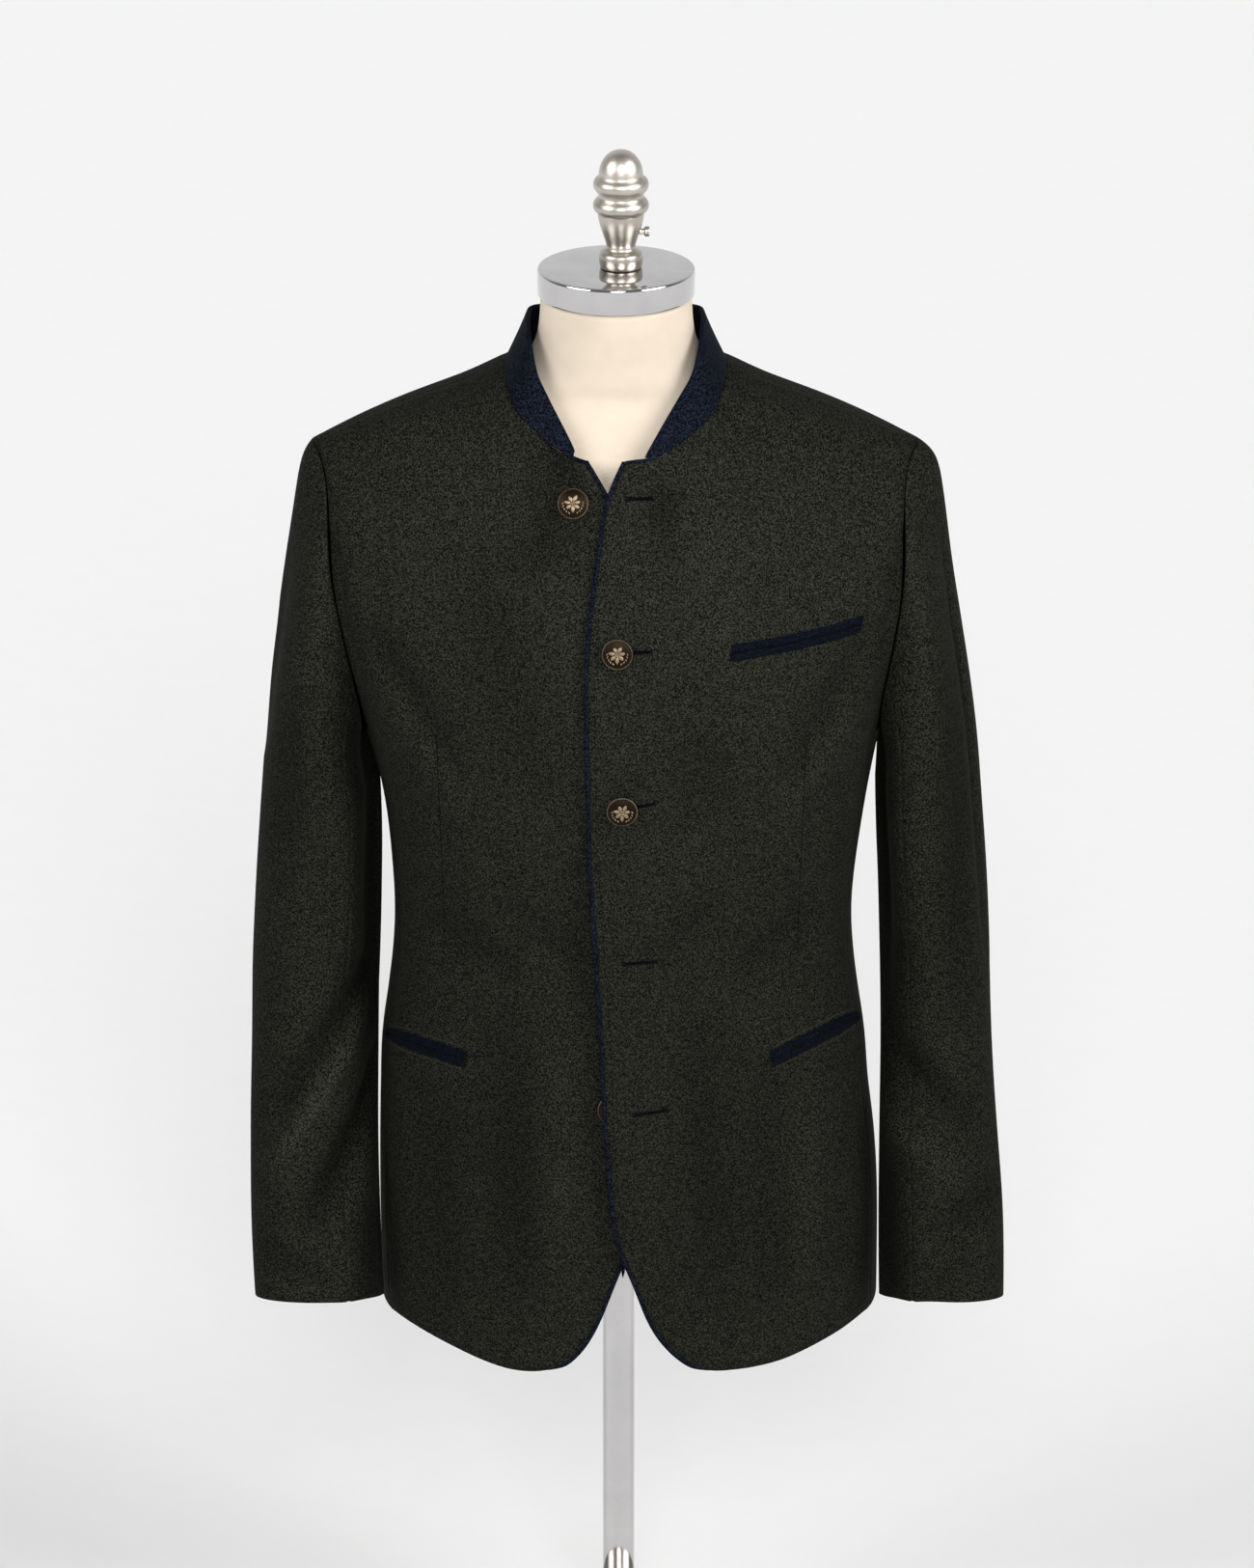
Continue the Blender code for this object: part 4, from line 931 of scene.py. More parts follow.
# ------------------------------------------------------------------ navy trims
@dataclass
class Cord:
    """A round cord along a line of points, with rounded ends.

    Attributes:
        name: The piece's name.
        line: X, Y and height of each point.
        radius: The cord's radius.
        steps: Corners of its section.
        end_reach: How far an end goes past its point, against the radius.
        end_width: An end's radius, against the radius.
    """

    name: str
    line: Line
    radius: float
    steps: int = 10
    end_reach: float = 0.6
    end_width: float = 0.55

    def shape(self) -> bmesh.types.BMesh:
        """Build the cord's mesh in memory."""
        points = [Vector((x, y, HEM + height)) for x, y, height in self.line]
        before = [points[0], *points[:-1]]
        after = [*points[1:], points[-1]]
        ahead = [(end - start).normalized() for start, end in zip(before, after)]
        past = self.radius * self.end_reach
        rows = [(points[0] - ahead[0] * past, ahead[0], self.end_width)]
        rows += [(point, way, 1.0) for point, way in zip(points, ahead)]
        rows += [(points[-1] + ahead[-1] * past, ahead[-1], self.end_width)]
        turns = [math.tau * step / self.steps for step in range(self.steps)]
        build = bmesh.new()
        rings = []
        for place, way, share in rows:
            first = way.cross(Vector((0.0, 0.3, 1.0))).normalized()
            second = way.cross(first)
            around = [first * math.cos(turn) + second * math.sin(turn) for turn in turns]
            rings.append([build.verts.new(place + off * self.radius * share) for off in around])
        for near, far in zip(rings, rings[1:]):
            for step in range(self.steps):
                build.faces.new((near[step - 1], near[step], far[step], far[step - 1]))
        build.faces.new(rings[0])
        build.faces.new(rings[-1])
        bmesh.ops.recalc_face_normals(build, faces=build.faces)
        return build

    def build(self, finish: Finish, slot: str) -> None:
        """Make the cord.

        Args:
            finish: Its finish.
            slot: The record's material slot; not used.
        """
        made = shaped(self.name, self.shape())
        smooth(made.data)
        dress(made, finish, slot)


POCKET_HALF = (0.185, 0.118)    # the body's half width and half depth at the pockets
VIEW_TILT = math.tan(math.radians(VIEW_PITCH))
NARROWING = 0.48                # share of a hip pocket's width that is gone at the side seam
NARROWING_POWER = 1.4           # above 1, the bands narrow late


class Course:
    """How a pocket's two bands run round the body, as smooth functions of the turn."""

    def __init__(self, bands: list[bpy.types.Object]) -> None:
        """Follow the upper and the lower band together."""
        every = np.concatenate([corners(band.data) for band in bands])
        turn = self.turn(every)
        self.first, self.last = turn.min(), turn.max()
        self.middle, self.outer = np.abs(turn).mean(), np.abs(turn).max()
        self.across, self.deep, self.high = (Polynomial.fit(turn, every[:, axis], 3) for axis in range(3))
        self.seen = Polynomial.fit(turn, every[:, 2] + VIEW_TILT * every[:, 1], 3)

    def turn(self, points: np.ndarray) -> np.ndarray:
        """How far round the body each point lies, in radians from the front middle."""
        return np.arctan2(points[:, 0] / POCKET_HALF[0], -points[:, 1] / POCKET_HALF[1])

    def width(self, turn: float | np.ndarray) -> float | np.ndarray:
        """How wide a hip pocket's bands are on their way to the side seam, from 1 down."""
        share = (np.abs(turn) - self.middle) / (self.outer - self.middle)
        return 1.0 - NARROWING * np.clip(share, 0.0, 1.0) ** NARROWING_POWER

    def straighten(self, bands: list[bpy.types.Object], cloth: BVHTree) -> None:
        """Lay the bands on a front's surface so that they look straight and narrowing from the front.

        Args:
            bands: The upper and the lower band.
            cloth: The front's surface.
        """
        start, end = self.across(self.first), self.across(self.last)
        start_seen, end_seen = self.seen(self.first), self.seen(self.last)
        for band in bands:
            points = corners(band.data)
            here = self.turn(points)
            share = (self.across(here) - start) / (end - start)
            rise = start_seen + (end_seen - start_seen) * share - self.seen(here)
            rise += (self.high(here) - points[:, 2]) * (1.0 - self.width(here))
            for number, lift in enumerate(rise):
                point = Vector(points[number])
                off = point - cloth.find_nearest(point)[0]
                points[number] = cloth.find_nearest(point + UP * lift)[0] + off
            move(band, points)

    def line(self, surfaces: list[BVHTree], rise: float = 0.0, points: int = 32) -> Line:
        """A line along the bands' middle, just clear of the outermost of some surfaces.

        Args:
            surfaces: What the line lies on.
            rise: How far over the middle it runs, where the bands are widest.
            points: How many points it has.

        Returns:
            X, Y and height of its points.
        """
        line = []
        for here in np.linspace(self.first, self.last, points + 2)[1:-1]:
            out = Vector((math.sin(here), -math.cos(here), 0.0))
            start = Vector((self.across(here), self.deep(here), self.high(here) + rise * self.width(here)))
            hits = [surface.ray_cast(start + out * 0.02, -out, 0.05) for surface in surfaces]
            hits = [hit for hit in hits if hit[0] is not None]
            if hits:
                place, normal = min(hits, key=lambda hit: hit[3])[:2]
                line.append((place + normal * 0.0001 - UP * HEM).to_tuple())
        return tuple(line)


NECK_BINDINGS = {
    Side.LEFT: ((0.0236, -0.0868, 0.6800), (0.0190, -0.0877, 0.6797), (0.0120, -0.0886, 0.6792),
                (0.0070, -0.0891, 0.6787), (0.0043, -0.0893, 0.6780), (0.0032, -0.0898, 0.6768)),
    Side.RIGHT: ((-0.0345, -0.0824, 0.6810), (-0.0315, -0.0834, 0.6800), (-0.0280, -0.0845, 0.6789),
                 (-0.0250, -0.0852, 0.6781), (-0.0232, -0.0854, 0.6776), (-0.0222, -0.0861, 0.6764)),
}


PIPING_ENDS = {Side.LEFT: 0.068, Side.RIGHT: -0.053}    # X of the piping's lower ends
TUCK_REACH = 0.014              # how far along the hem an end is tucked up
TUCK_HEIGHT = 0.02              # only below this height
TUCK = (0.0, 0.0010, 0.0022)    # X, Y and Z of the way that it is moved


@dataclass
class Trims:
    """Stand collar, edge piping and pocket bands of navy felt.

    Attributes:
        collar: Cut of the collar.
        collar_area: Flat area of the collar.
        fill: How far felt is pushed out, to close its seams.
        binding: Radius of a neck binding.
        seam: Radius of the dark thread between a pocket's bands.
        stitch: Radius of the stitches beside a hip pocket.
        stitch_rise: How far they run over and under the pocket's middle.
    """

    collar: tuple[float, float] = (0.430, 0.036)
    collar_area: float = 0.0147
    fill: float = 0.0006
    binding: float = 0.0016
    seam: float = 0.0007
    stitch: float = 0.0003
    stitch_rise: float = 0.0086

    def build(self, surfaces: dict[str, BVHTree]) -> None:
        """Make every navy piece.

        Args:
            surfaces: The fronts' surfaces.
        """
        collar = ClothPiece(
            "collar", self.collar, self.collar_area, "stretched", FELT, "navy_felt",
            ("front_left_cloth",), levels=3, hold=0.75, fill=self.fill, creases=COLLAR_CREASES).build()
        collar.data.transform(Matrix.Translation((0.0, 0.0, -self.fill)))
        for side in Side:
            self.edge(side)
        for pocket in ("right", "left", "chest"):
            self.pocket(pocket, surfaces["front_right" if pocket == "right" else "front_left"])

    def edge(self, side: Side) -> None:
        """Make a front's edge piping and the short binding at its neck."""
        piping = merged_copy(f"piping_{side.word}", f"piping_{side.word}_felt")
        refine(piping, 2, 0.6)
        swell(piping, self.fill)
        points = corners(piping.data)
        share = np.clip(1 - np.abs(points[:, 0] - PIPING_ENDS[side]) / TUCK_REACH, 0.0, 1.0)
        share *= points[:, 2] < HEM + TUCK_HEIGHT
        move(piping, points + np.outer(share, TUCK))
        if side is Side.LEFT:
            open_edge(piping)
        Cord(f"neck_binding_{side.word}", NECK_BINDINGS[side], self.binding).build(FELT, "navy_felt")
        dress(piping, FELT, "navy_felt", f"piping_{side.word}")

    def pocket(self, pocket: str, front: BVHTree) -> None:
        """Make a pocket's bands, the seam between them and the stitches beside a hip pocket.

        Args:
            pocket: The pocket's name.
            front: The surface of the front that it lies on.
        """
        nodes = [f"pocket_{pocket}_{band}" for band in ("upper", "lower")]
        bands = [merged_copy(node, f"{node}_band") for node in nodes]
        for band in bands:
            refine(band, 2, 0.25, 40.0)
        rises = {}
        if pocket != "chest":
            Course(bands).straighten(bands, front)
            rises = {"above": self.stitch_rise, "below": -self.stitch_rise}
        course = Course(bands)
        for name, rise in rises.items():
            stitches = course.line([front], rise)
            Cord(f"pocket_{pocket}_stitches_{name}", stitches, self.stitch, 6).build(PICK, "loden")
        seam = course.line([surface_of(band) for band in bands])
        Cord(f"pocket_{pocket}_seam", seam, self.seam, 8).build(THREAD, "navy_felt")
        for node, band in zip(nodes, bands):
            dress(band, BANDS, "navy_felt", node)


# ------------------------------------------------------------------ turned pieces
def turned(name: str, profile: Profile, steps: int) -> bpy.types.Object:
    """A turned solid, extruded ring by ring downwards from a disc.

    Args:
        name: The object's name.
        profile: Heights and radii from the top down, each radius above 0.
        steps: Corners of each ring.

    Returns:
        The object, standing on the Z axis.
    """
    deselect()
    top, radius = profile[0]
    bpy.ops.mesh.primitive_circle_add(vertices=steps, radius=radius, fill_type="NGON", location=(0, 0, top))
    made = added(name)
    bpy.ops.object.transform_apply(location=True)
    with editing():
        for (height, wide), (lower, next_wide) in zip(profile, profile[1:]):
            bpy.ops.mesh.extrude_region_move(TRANSFORM_OT_translate={"value": (0, 0, lower - height)})
            share = next_wide / wide
            bpy.ops.transform.resize(value=(share, share, 1), center_override=(0, 0, lower))
        bpy.ops.mesh.select_all(action="SELECT")
        bpy.ops.mesh.normals_make_consistent(inside=False)
    bpy.ops.object.shade_smooth_by_angle(angle=math.radians(40))
    return made


def stand_at(made: bpy.types.Object, place: Vector, axis: Vector = UP) -> None:
    """Turn an object's +Z to an axis and put its foot at a place, all in its mesh."""
    turn = UP.rotation_difference(axis).to_matrix().to_4x4()
    made.data.transform(Matrix.Translation(place) @ turn)


@dataclass
class DressForm:
    """The limbless form: linen torso, chrome cap, nickel finial, pole and base.

    Attributes:
        finial_profile: Heights above the cap and radii, from the top down.
        cap_profile: Heights above the side hem and radii of the neck cap.
        screw_profile: Heights and radii of the thumb screw, which lies on its side.
        base_profile: Heights above the floor and radii of the base.
        pole_end: Distances from the pole's end and radii there.
        neck: X and Y of the neck's middle.
        finial_x: X of the finial's middle.
        screw_place: X from the finial's middle and height above the cap of the screw's foot.
        cap_top: Height of the cap's top.
        covered: Height below which the jacket covers the torso.
        room: How far the torso is drawn in there.
        ring_steps: Corners of each turned ring.
    """

    finial_profile: Profile = (
        (0.0885, 0.0006), (0.0884, 0.0026), (0.0878, 0.0052), (0.0866, 0.0078), (0.0848, 0.0102),
        (0.0822, 0.0124), (0.0790, 0.0143), (0.0752, 0.0156), (0.0716, 0.0162), (0.0698, 0.0163),
        (0.0686, 0.0169), (0.0672, 0.0186), (0.0655, 0.0198), (0.0635, 0.0203), (0.0612, 0.0202),
        (0.0592, 0.0193), (0.0574, 0.0178), (0.0560, 0.0168), (0.0545, 0.0165), (0.0530, 0.0171),
        (0.0514, 0.0186), (0.0496, 0.0199), (0.0476, 0.0205), (0.0454, 0.0203), (0.0436, 0.0194),
        (0.0424, 0.0178), (0.0415, 0.0170), (0.0400, 0.0169), (0.0370, 0.0165), (0.0335, 0.0157),
        (0.0300, 0.0147), (0.0265, 0.0136), (0.0230, 0.0124), (0.0200, 0.0114), (0.0175, 0.0107),
        (0.0158, 0.0106), (0.0145, 0.0110), (0.0134, 0.0122), (0.0126, 0.0138), (0.0116, 0.0151),
        (0.0100, 0.0158), (0.0070, 0.0160), (0.0036, 0.0158), (0.0014, 0.0154), (0.0004, 0.0149),
    )
    cap_profile: Profile = (
        (0.8013, 0.0010), (0.8014, 0.0300), (0.8014, 0.0552), (0.8011, 0.0566), (0.8004, 0.0573),
        (0.7992, 0.0575), (0.7905, 0.0575), (0.7826, 0.0575), (0.7819, 0.0572), (0.7816, 0.0564),
    )
    screw_profile: Profile = (
        (0.0065, 0.0026), (0.0064, 0.0032), (0.0058, 0.0037), (0.0034, 0.0037), (0.0029, 0.0032),
        (0.0024, 0.0022), (-0.0030, 0.0022))
    base_profile: Profile = (
        (0.0340, 0.0205), (0.0338, 0.0226), (0.0331, 0.0246), (0.0318, 0.0257), (0.0300, 0.0260),
        (0.0200, 0.0262), (0.0178, 0.0272), (0.0158, 0.0296), (0.0146, 0.0340), (0.0139, 0.0420),
        (0.0128, 0.0800), (0.0115, 0.1250), (0.0106, 0.1400), (0.0094, 0.1445), (0.0076, 0.1476),
        (0.0052, 0.1494), (0.0030, 0.1500), (0.0012, 0.1494), (0.0000, 0.1480))
    pole_end: Profile = ((0.0, 0.0112), (0.0004, 0.0118), (0.001, 0.0120))
    neck: tuple[float, float] = (-0.0015, -0.006)
    finial_x: float = 0.002
    screw_place: tuple[float, float] = (0.0143, 0.027)
    cap_top: float = 0.8015
    covered: float = 0.640
    room: float = 0.0045
    ring_steps: int = 96

    def build(self) -> None:
        """Make every part of the form."""
        self.torso()
        self.cap()
        self.finial()
        self.screw()
        self.pole()
        self.base()

    def torso(self) -> None:
        """The linen torso, drawn in under the cloth to leave room for the folds."""
        made = merged_copy("form_torso", "form_torso_linen")
        refine(made, 2, 1.0)
        share = np.clip((HEM + self.covered - corners(made.data)[:, 2]) / 0.04, 0.0, 1.0)
        swell(made, -self.room * share[:, None])
        dress(made, LINEN, "linen", "form_torso")

    def cap(self) -> None:
        """The cap on the neck."""
        made = turned("neck_cap_chrome", self.cap_profile, self.ring_steps)
        stand_at(made, Vector((*self.neck, HEM)))
        dress(made, CHROME, "chrome", "neck_cap")

    def finial(self) -> None:
        """The finial on the cap."""
        made = turned("finial_nickel", self.finial_profile, self.ring_steps)
        stand_at(made, Vector((self.finial_x, self.neck[1], HEM + self.cap_top)))
        dress(made, NICKEL, "nickel", "finial")

    def screw(self) -> None:
        """The knurled thumb screw in the finial's side."""
        made = turned("finial_screw_nickel", self.screw_profile, 36)
        for vertex in made.data.vertices:
            if vertex.index % 2 and vertex.co.xy.length > 0.0035:
                vertex.co.xy *= 0.93
        aside, above = self.screw_place
        place = Vector((self.finial_x + aside, self.neck[1], HEM + self.cap_top + above))
        stand_at(made, place, Vector((1, 0, 0)))
        dress(made, NICKEL, "nickel", "finial_screw")

    def pole(self) -> None:
        """The pole under the torso."""
        low, high = (corner[2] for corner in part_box("pole"))
        profile = [(high - off, radius) for off, radius in self.pole_end]
        profile += [(low + off, radius) for off, radius in reversed(self.pole_end)]
        dress(turned("pole_chrome", profile, 64), CHROME, "chrome", "pole")

    def base(self) -> None:
        """The round base on the floor."""
        dress(turned("base_nickel", self.base_profile, self.ring_steps), NICKEL, "nickel", "base")


# ------------------------------------------------------------------ buttons
@dataclass
class Buttons:
    """Domed metal buttons with a generic flower in a rope rim.

    Attributes:
        dome: Depths below the dome's top and radii against the rim's, from the top down.
        shank: Depths below the dome's top and radii of the shank.
        radius: A button's radius.
        height: Its height from the cloth.
        petals: Petals of the flower.
        rope: Strands round the rim.
        blank_relief: Where the rim starts, against the radius, and how worn bright the blank
            is inside it and on it, from 0 to 1.
        part_relief: The same for the ornament.
    """

    dome: Profile = (
        (0.0, 0.02), (0.00002, 0.18), (0.0001, 0.34), (0.00035, 0.50), (0.0007, 0.64), (0.00115, 0.76),
        (0.0016, 0.85), (0.00175, 0.90), (0.0018, 0.955), (0.0021, 0.985), (0.0026, 1.0), (0.0031, 0.985),
        (0.0035, 0.93), (0.0037, 0.80), (0.0038, 0.42))
    shank: Profile = ((0.0040, 0.0030), (0.0046, 0.0026), (0.0060, 0.0026))
    radius: float = 0.0115
    height: float = 0.0067
    petals: int = 7
    rope: int = 44
    blank_relief: tuple[float, float, float] = (0.93, 0.12, 0.36)
    part_relief: tuple[float, float, float] = (0.85, 0.66, 0.42)

    def blank(self) -> bpy.types.Object:
        """The turned button without its ornament."""
        top = self.height - 0.0006
        profile = [(top - depth, self.radius * share) for depth, share in self.dome]
        profile += [(top - depth, radius) for depth, radius in self.shank]
        return turned("button", profile, 72)

    def leaf(self, length: float, width: float, thick: float) -> bpy.types.Object:
        """A pointed leaf lying along +X from the origin, with a groove down its middle."""
        deselect()
        bpy.ops.mesh.primitive_grid_add(x_subdivisions=10, y_subdivisions=6, size=1.0, location=(0, 0, 0))
        made = added("leaf")
        with editing():
            bpy.ops.mesh.extrude_region_move(TRANSFORM_OT_translate={"value": (0, 0, -thick)})
        for vertex in made.data.vertices:
            x, y, z = vertex.co
            along = x + 0.5
            bulge = math.sin(math.pi * min(max(along, 0.02), 0.98)) ** 0.7
            vertex.co.x = along * length
            vertex.co.y = y * width * bulge
            if z > -thick / 2:
                side = abs(y) * 2
                vertex.co.z = thick * bulge * (1 - side ** 2) - thick * 0.35 * math.exp(-(side / 0.25) ** 2)
        return made

    def grain(self, name: str, segments: int, radius: float,
              size: tuple[float, float, float]) -> bpy.types.Object:
        """A small ball, drawn out along X, Y and Z."""
        deselect()
        bpy.ops.mesh.primitive_uv_sphere_add(segments=segments, ring_count=6, radius=radius)
        made = added(name)
        with editing():
            bpy.ops.transform.resize(value=size)
        return made

    def laid(self, part: bpy.types.Object, radius: float, angle: float,
             turn: float = 0.0) -> bpy.types.Object:
        """Put a part on the dome at a radius and an angle, turned in its plane."""
        share = radius / self.radius
        drop = 0.0011 * share ** 2 + 0.0012 * share ** 5
        tilt = math.atan((0.0022 * share + 0.006 * share ** 4) / self.radius)
        place = Matrix.Translation((radius, 0, self.height - 0.0007 - drop))
        turns = Matrix.Rotation(tilt, 4, "Y") @ Matrix.Rotation(turn, 4, "Z")
        part.data.transform(Matrix.Rotation(angle, 4, "Z") @ place @ turns)
        return part

    def ornament(self) -> list[bpy.types.Object]:
        """Petals, florets, sprigs and rope, each laid on the dome."""
        parts = []
        for number in range(self.petals):
            petal = self.leaf(0.0054 if number % 2 else 0.0046, 0.0027, 0.00055)
            parts.append(self.laid(petal, 0.0012, math.tau * number / self.petals + 0.2))
        for number in range(6):
            floret = self.grain("floret", 10, 0.00066, (1, 1, 0.00060 / 0.00066))
            parts.append(self.laid(floret, 0.00110, math.tau * number / 6))
        parts.append(self.laid(self.grain("floret", 10, 0.00062, (1, 1, 0.00075 / 0.00062)), 0.0, 0.0))
        for side in (1, -1):
            for number in range(5):
                angle = -math.pi / 2 + side * (0.30 + number * 0.30)
                parts.append(self.laid(self.leaf(0.0022, 0.00105, 0.00042), 0.0080, angle, side * 2.2))
        for number in range(self.rope):
            strand = self.grain("strand", 8, 0.00046, (1.75, 0.75, 0.75))
            parts.append(self.laid(strand, self.radius * 0.94, math.tau * number / self.rope, 0.9))
        return parts

    def whole(self) -> bpy.types.Object:
        """One finished button, standing on the Z axis."""
        blank = self.blank()
        parts = self.ornament()
        for part in (blank, *parts):
            rim, inner, outer = self.blank_relief if part is blank else self.part_relief
            relief = part.data.attributes.new("relief", "FLOAT", "POINT")
            for vertex, value in zip(part.data.vertices, relief.data):
                edge = vertex.co.xy.length / self.radius
                value.value = inner if edge < rim else outer
        choose(blank)
        for part in parts:
            part.select_set(True)
        bpy.ops.object.join()
        bpy.ops.object.shade_smooth_by_angle(angle=math.radians(40))
        return blank

    def build(self) -> None:
        """Make the five buttons, each in its solid's place."""
        first = self.whole()
        for number in range(1, 6):
            node = f"button_{number}"
            points = corners(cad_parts[node].data)
            middle = points.mean(axis=0)
            axis = np.linalg.svd(points - middle)[2][2]
            axis = -axis if axis[1] > 0 else axis
            foot = middle + axis * ((points - middle) @ axis).min()
            made = linked(f"{node}_metal", first.data.copy())
            stand_at(made, Vector(foot), Vector(axis))
            dress(made, BRASS, "antique_brass", node)
        bpy.data.objects.remove(first)


# ------------------------------------------------------------------ buttonholes and stitches
@dataclass
class Buttonhole:
    """A keyhole buttonhole, edged with purl stitches.

    Attributes:
        name: The piece's name.
        start: X and height of its eye, by the front edge.
        end: X and height of its bar.
        gap: Half the hole's width.
        eye: The eye's radius.
        stitch: From one stitch to the next.
        purl: Half sizes of a stitch, along the hole, across it and out of the cloth.
    """

    name: str
    start: tuple[float, float]
    end: tuple[float, float]
    gap: float = 0.0006
    eye: float = 0.0014
    stitch: float = 0.0007
    purl: tuple[float, float, float] = (0.00046, 0.00085, 0.00052)

    def outline(self) -> list[tuple[float, float]]:
        """Stitch places round the hole, along it and across it."""
        length = math.dist(self.start, self.end)
        steps = int((length - self.eye) / self.stitch)
        along = [self.eye + step * self.stitch for step in range(steps)]
        places = [(place, self.gap) for place in along]
        places += [(place, -self.gap) for place in reversed(along)]
        for step in range(9):
            turn = math.pi * (0.25 + 1.5 * step / 8)
            places.append((self.eye * 0.2 + self.eye * math.cos(turn), self.eye * math.sin(turn)))
        places += [(length, self.gap * share) for share in (-2.6, -1.8, -0.9, 0.0, 0.9, 1.8, 2.6)]
        return places

    def build(self, cloth: BVHTree) -> None:
        """Make the buttonhole on the front's cloth.

        Args:
            cloth: The front's surface.
        """
        middle = np.array(self.start)
        line = (np.array(self.end) - middle) / math.dist(self.start, self.end)
        square = np.array([-line[1], line[0]])
        deselect()
        bpy.ops.mesh.primitive_ico_sphere_add(subdivisions=1, radius=1.0)
        bead = added("purl")
        build = bmesh.new()
        size = Matrix.Rotation(math.atan2(line[1], line[0]), 4, "Z") @ Matrix.Diagonal((*self.purl, 1.0))
        for along, across in self.outline():
            place, normal = seen_at(cloth, *(middle + line * along + square * across))
            turn = UP.rotation_difference(normal).to_matrix().to_4x4()
            copy = bead.data.copy()
            copy.transform(Matrix.Translation(place + normal * 0.0002) @ turn @ size)
            build.from_mesh(copy)
            bpy.data.meshes.remove(copy)
        bpy.data.objects.remove(bead)
        dress(shaped(self.name, build), THREAD, "navy_felt")


@dataclass
class StitchLine:
    """A line of small stitches or a sewn-in dart on a panel, seen from the front.

    Attributes:
        name: The piece's name.
        panel: The cloth that it lies on.
        line: X and height of points along it.
        length: A stitch's length.
        pitch: From one stitch to the next.
        radius: The thread's radius.
    """

    name: str
    panel: str
    line: Profile
    length: float = 0.0022
    pitch: float = 0.0052
    radius: float = 0.00028

    def at(self, along: float) -> tuple[float, float]:
        """The place at a distance along the line."""
        for start, end in zip(self.line, self.line[1:]):
            step = math.dist(start, end)
            if along <= step:
                share = along / step
                return tuple(near + (far - near) * share for near, far in zip(start, end))
            along -= step
        return self.line[-1]

    def stitch(self, cloth: BVHTree, start: float) -> Line:
        """The arched course of a stitch that starts at a distance along the line."""
        course = []
        for share in (0.0, 0.25, 0.5, 0.75, 1.0):
            place, normal = seen_at(cloth, *self.at(start + self.length * share))
            if place is None or normal.y >= -0.2:
                return ()
            rise = math.sin(math.pi * share) * 0.9 - 0.45
            course.append((place + normal * self.radius * rise - UP * HEM).to_tuple())
        return tuple(course)

    def build(self, cloth: BVHTree) -> None:
        """Make the stitches on the cloth.

        Args:
            cloth: The panel's surface.
        """
        total = sum(math.dist(near, far) for near, far in zip(self.line, self.line[1:]))
        build = bmesh.new()
        start = 0.0
        while start + self.length < total:
            course = self.stitch(cloth, start)
            if course:
                thread = shaped("stitch", Cord("stitch", course, self.radius, 6).shape())
                build.from_mesh(thread.data)
                bpy.data.meshes.remove(thread.data)
            start += self.pitch
        made = shaped(self.name, build)
        smooth(made.data)
        dress(made, THREAD, "navy_felt")


LEFT_EDGE = (
    (0.0062, 0.6730), (-0.0005, 0.6580), (-0.0068, 0.6435), (-0.0110, 0.6270), (-0.0138, 0.6056),
    (-0.0173, 0.5828), (-0.0194, 0.5597), (-0.0216, 0.5161), (-0.0209, 0.4722), (-0.0203, 0.4145),
    (-0.0186, 0.3802), (-0.0169, 0.3504), (-0.0141, 0.3056), (-0.0120, 0.2768), (-0.0099, 0.2343),
    (-0.0085, 0.1988), (-0.0064, 0.1533), (-0.0032, 0.1224), (0.0022, 0.0858))
EDGE_INSET = 0.0042             # from the left front's edge to its stitches
DART = (0.0040, 0.0041, 0.00026)    # length, pitch and radius of a dart's stitches
STITCH_LINES = (
    StitchLine("edge_stitches_left", "front_left",
               tuple((x + EDGE_INSET, height) for x, height in LEFT_EDGE)),
    StitchLine("dart_right", "front_right",
               ((-0.1325, 0.4760), (-0.1310, 0.4200), (-0.1290, 0.3600), (-0.1275, 0.3000)), *DART),
    StitchLine("dart_left", "front_left",
               ((0.1370, 0.4680), (0.1355, 0.4200), (0.1335, 0.3600), (0.1320, 0.3000)), *DART),
)
BUTTONHOLES = (
    Buttonhole("buttonhole_1", (0.0064, 0.6550), (0.0246, 0.6548)),
    Buttonhole("buttonhole_2", (0.0030, 0.5470), (0.0245, 0.5473)),
    Buttonhole("buttonhole_3", (0.0060, 0.4285), (0.0268, 0.4323)),
    Buttonhole("buttonhole_4", (0.0040, 0.3058), (0.0284, 0.3070)),
    Buttonhole("buttonhole_5", (0.0114, 0.1892), (0.0363, 0.1926)),
)


# ------------------------------------------------------------------ studio
@dataclass(frozen=True)
class Lamp:
    """A soft distant light that shines on the jacket.

    Attributes:
        name: Its name.
        turn: Its way round from the front, towards the wearer's left, in degrees.
        rise: Its height over the horizon in degrees.
        spread: Its breadth in the sky in degrees.
        strength: Its strength.
    """

    name: str
    turn: float
    rise: float
    spread: float
    strength: float

    def build(self) -> None:
        """Hang the light."""
        data = bpy.data.lights.new(self.name, "SUN")
        data.angle = math.radians(self.spread)
        data.energy = self.strength
        lamp = linked(self.name, data)
        lamp.rotation_euler = (math.radians(90 - self.rise), 0, math.radians(self.turn))


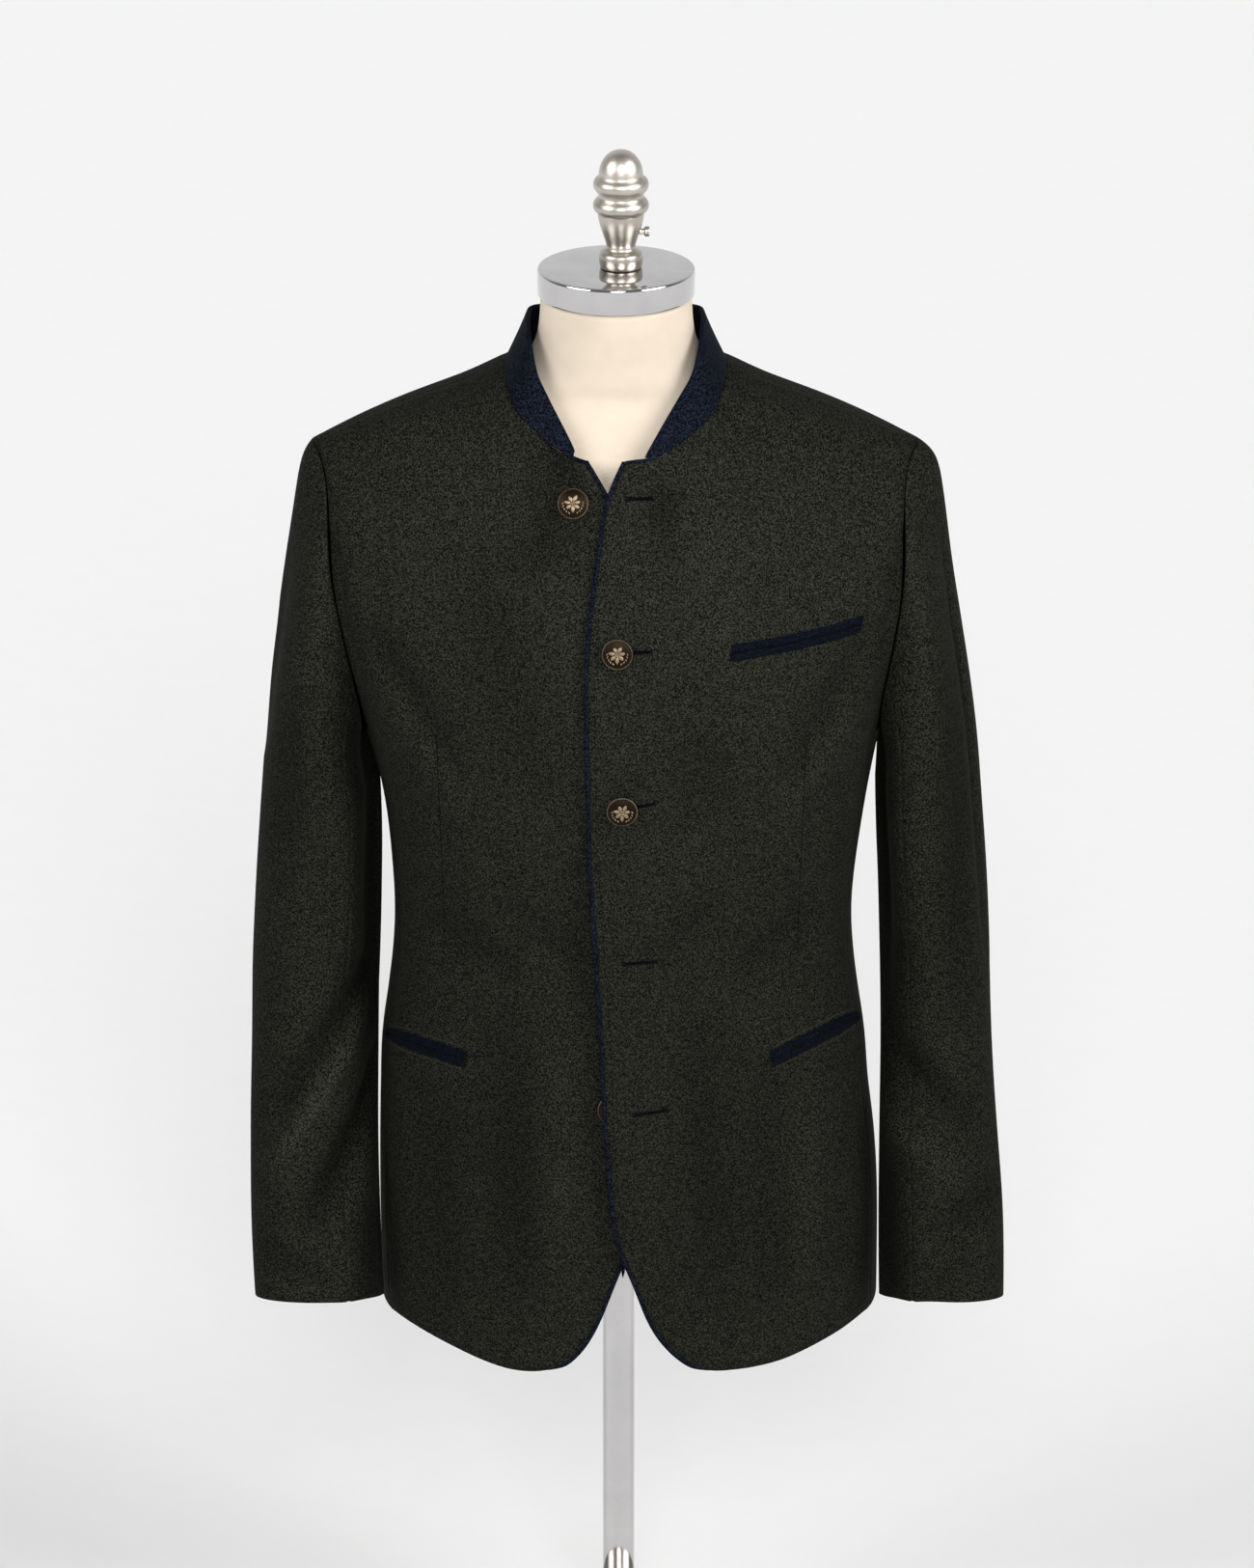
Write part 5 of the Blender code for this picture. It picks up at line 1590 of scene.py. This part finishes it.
@dataclass
class Studio:
    """Floor, soft lights and the camera.

    Attributes:
        distance: Camera to the jacket.
        pitch: How far the camera looks down, in degrees.
        target: What it looks at.
        lens: Focal length on the sensor.
        sensor: The sensor's width in millimetres.
        lamps: The distant lights.
        room_strength: The world's strength, in front of the jacket and behind it.
    """

    distance: float = 8.0
    pitch: float = VIEW_PITCH
    target: tuple[float, float, float] = (0.0064, 0.0, HEM + 0.3993)
    lens: float = 247.87
    sensor: float = 36.0
    lamps: tuple[Lamp, ...] = (
        Lamp("key", 3.0, 27.0, 20.0, 1.5),
        Lamp("left_side", 60.0, 27.0, 36.0, 2.6),
        Lamp("right_side", -60.0, 27.0, 36.0, 1.7),
    )
    room_strength: tuple[float, float] = (0.20, 0.75)

    def build(self) -> None:
        """Make the stage."""
        deselect()
        bpy.ops.mesh.primitive_grid_add(
            x_subdivisions=4, y_subdivisions=4, size=60.0, location=(0, 0, -0.0002))
        floor = added("floor")
        choose(floor)
        bpy.ops.object.transform_apply(location=True, rotation=True, scale=True)
        floor.data.materials.append(FLOOR.made())
        for lamp in self.lamps:
            lamp.build()
        self.room()
        self.camera()
        bpy.context.scene.view_settings.view_transform = "Standard"

    def room(self) -> None:
        """Light the room softly, more from behind the jacket than from before it."""
        world = bpy.data.worlds.new("soft_room")
        world.use_nodes = True
        tree = world.node_tree
        parts = add_node(tree, "SeparateXYZ")
        tree.links.new(add_node(tree, "TexCoord").outputs["Generated"], parts.inputs[0])
        before, behind = self.room_strength
        wall = add_node(tree, "MapRange", interpolation_type="SMOOTHSTEP", From_Min=0.1, From_Max=0.9,
                        To_Min=before, To_Max=behind)
        tree.links.new(parts.outputs["Y"], wall.inputs["Value"])
        back = tree.nodes["Background"]
        set_inputs(back, Color=(1.0, 1.0, 1.0, 1.0))
        tree.links.new(wall.outputs[0], back.inputs["Strength"])
        bpy.context.scene.world = world

    def camera(self) -> None:
        """Add the camera."""
        pitch = math.radians(self.pitch)
        data = bpy.data.cameras.new("camera")
        data.sensor_width = self.sensor
        data.lens = self.lens
        data.clip_end = 200.0
        made = linked("camera", data)
        back = Vector((0, -math.cos(pitch), math.sin(pitch))) * self.distance
        made.location = Vector(self.target) + back
        made.rotation_euler = (math.pi / 2 - pitch, 0, 0)
        bpy.context.scene.camera = made


# ------------------------------------------------------------------ the whole
def main() -> None:
    """Build and dress every piece."""
    logging.basicConfig(level=logging.INFO, format="%(name)s %(message)s")
    panels = JacketBody().build()
    Sleeves().build()
    surfaces = {node: surface_of(panels[node]) for node in ("front_left", "front_right")}
    Trims().build(surfaces)
    Buttons().build()
    for buttonhole in BUTTONHOLES:
        buttonhole.build(surfaces["front_left"])
    for stitches in STITCH_LINES:
        stitches.build(surfaces[stitches.panel])
    DressForm().build()
    Studio().build()


if __name__ == "__main__":
    main()
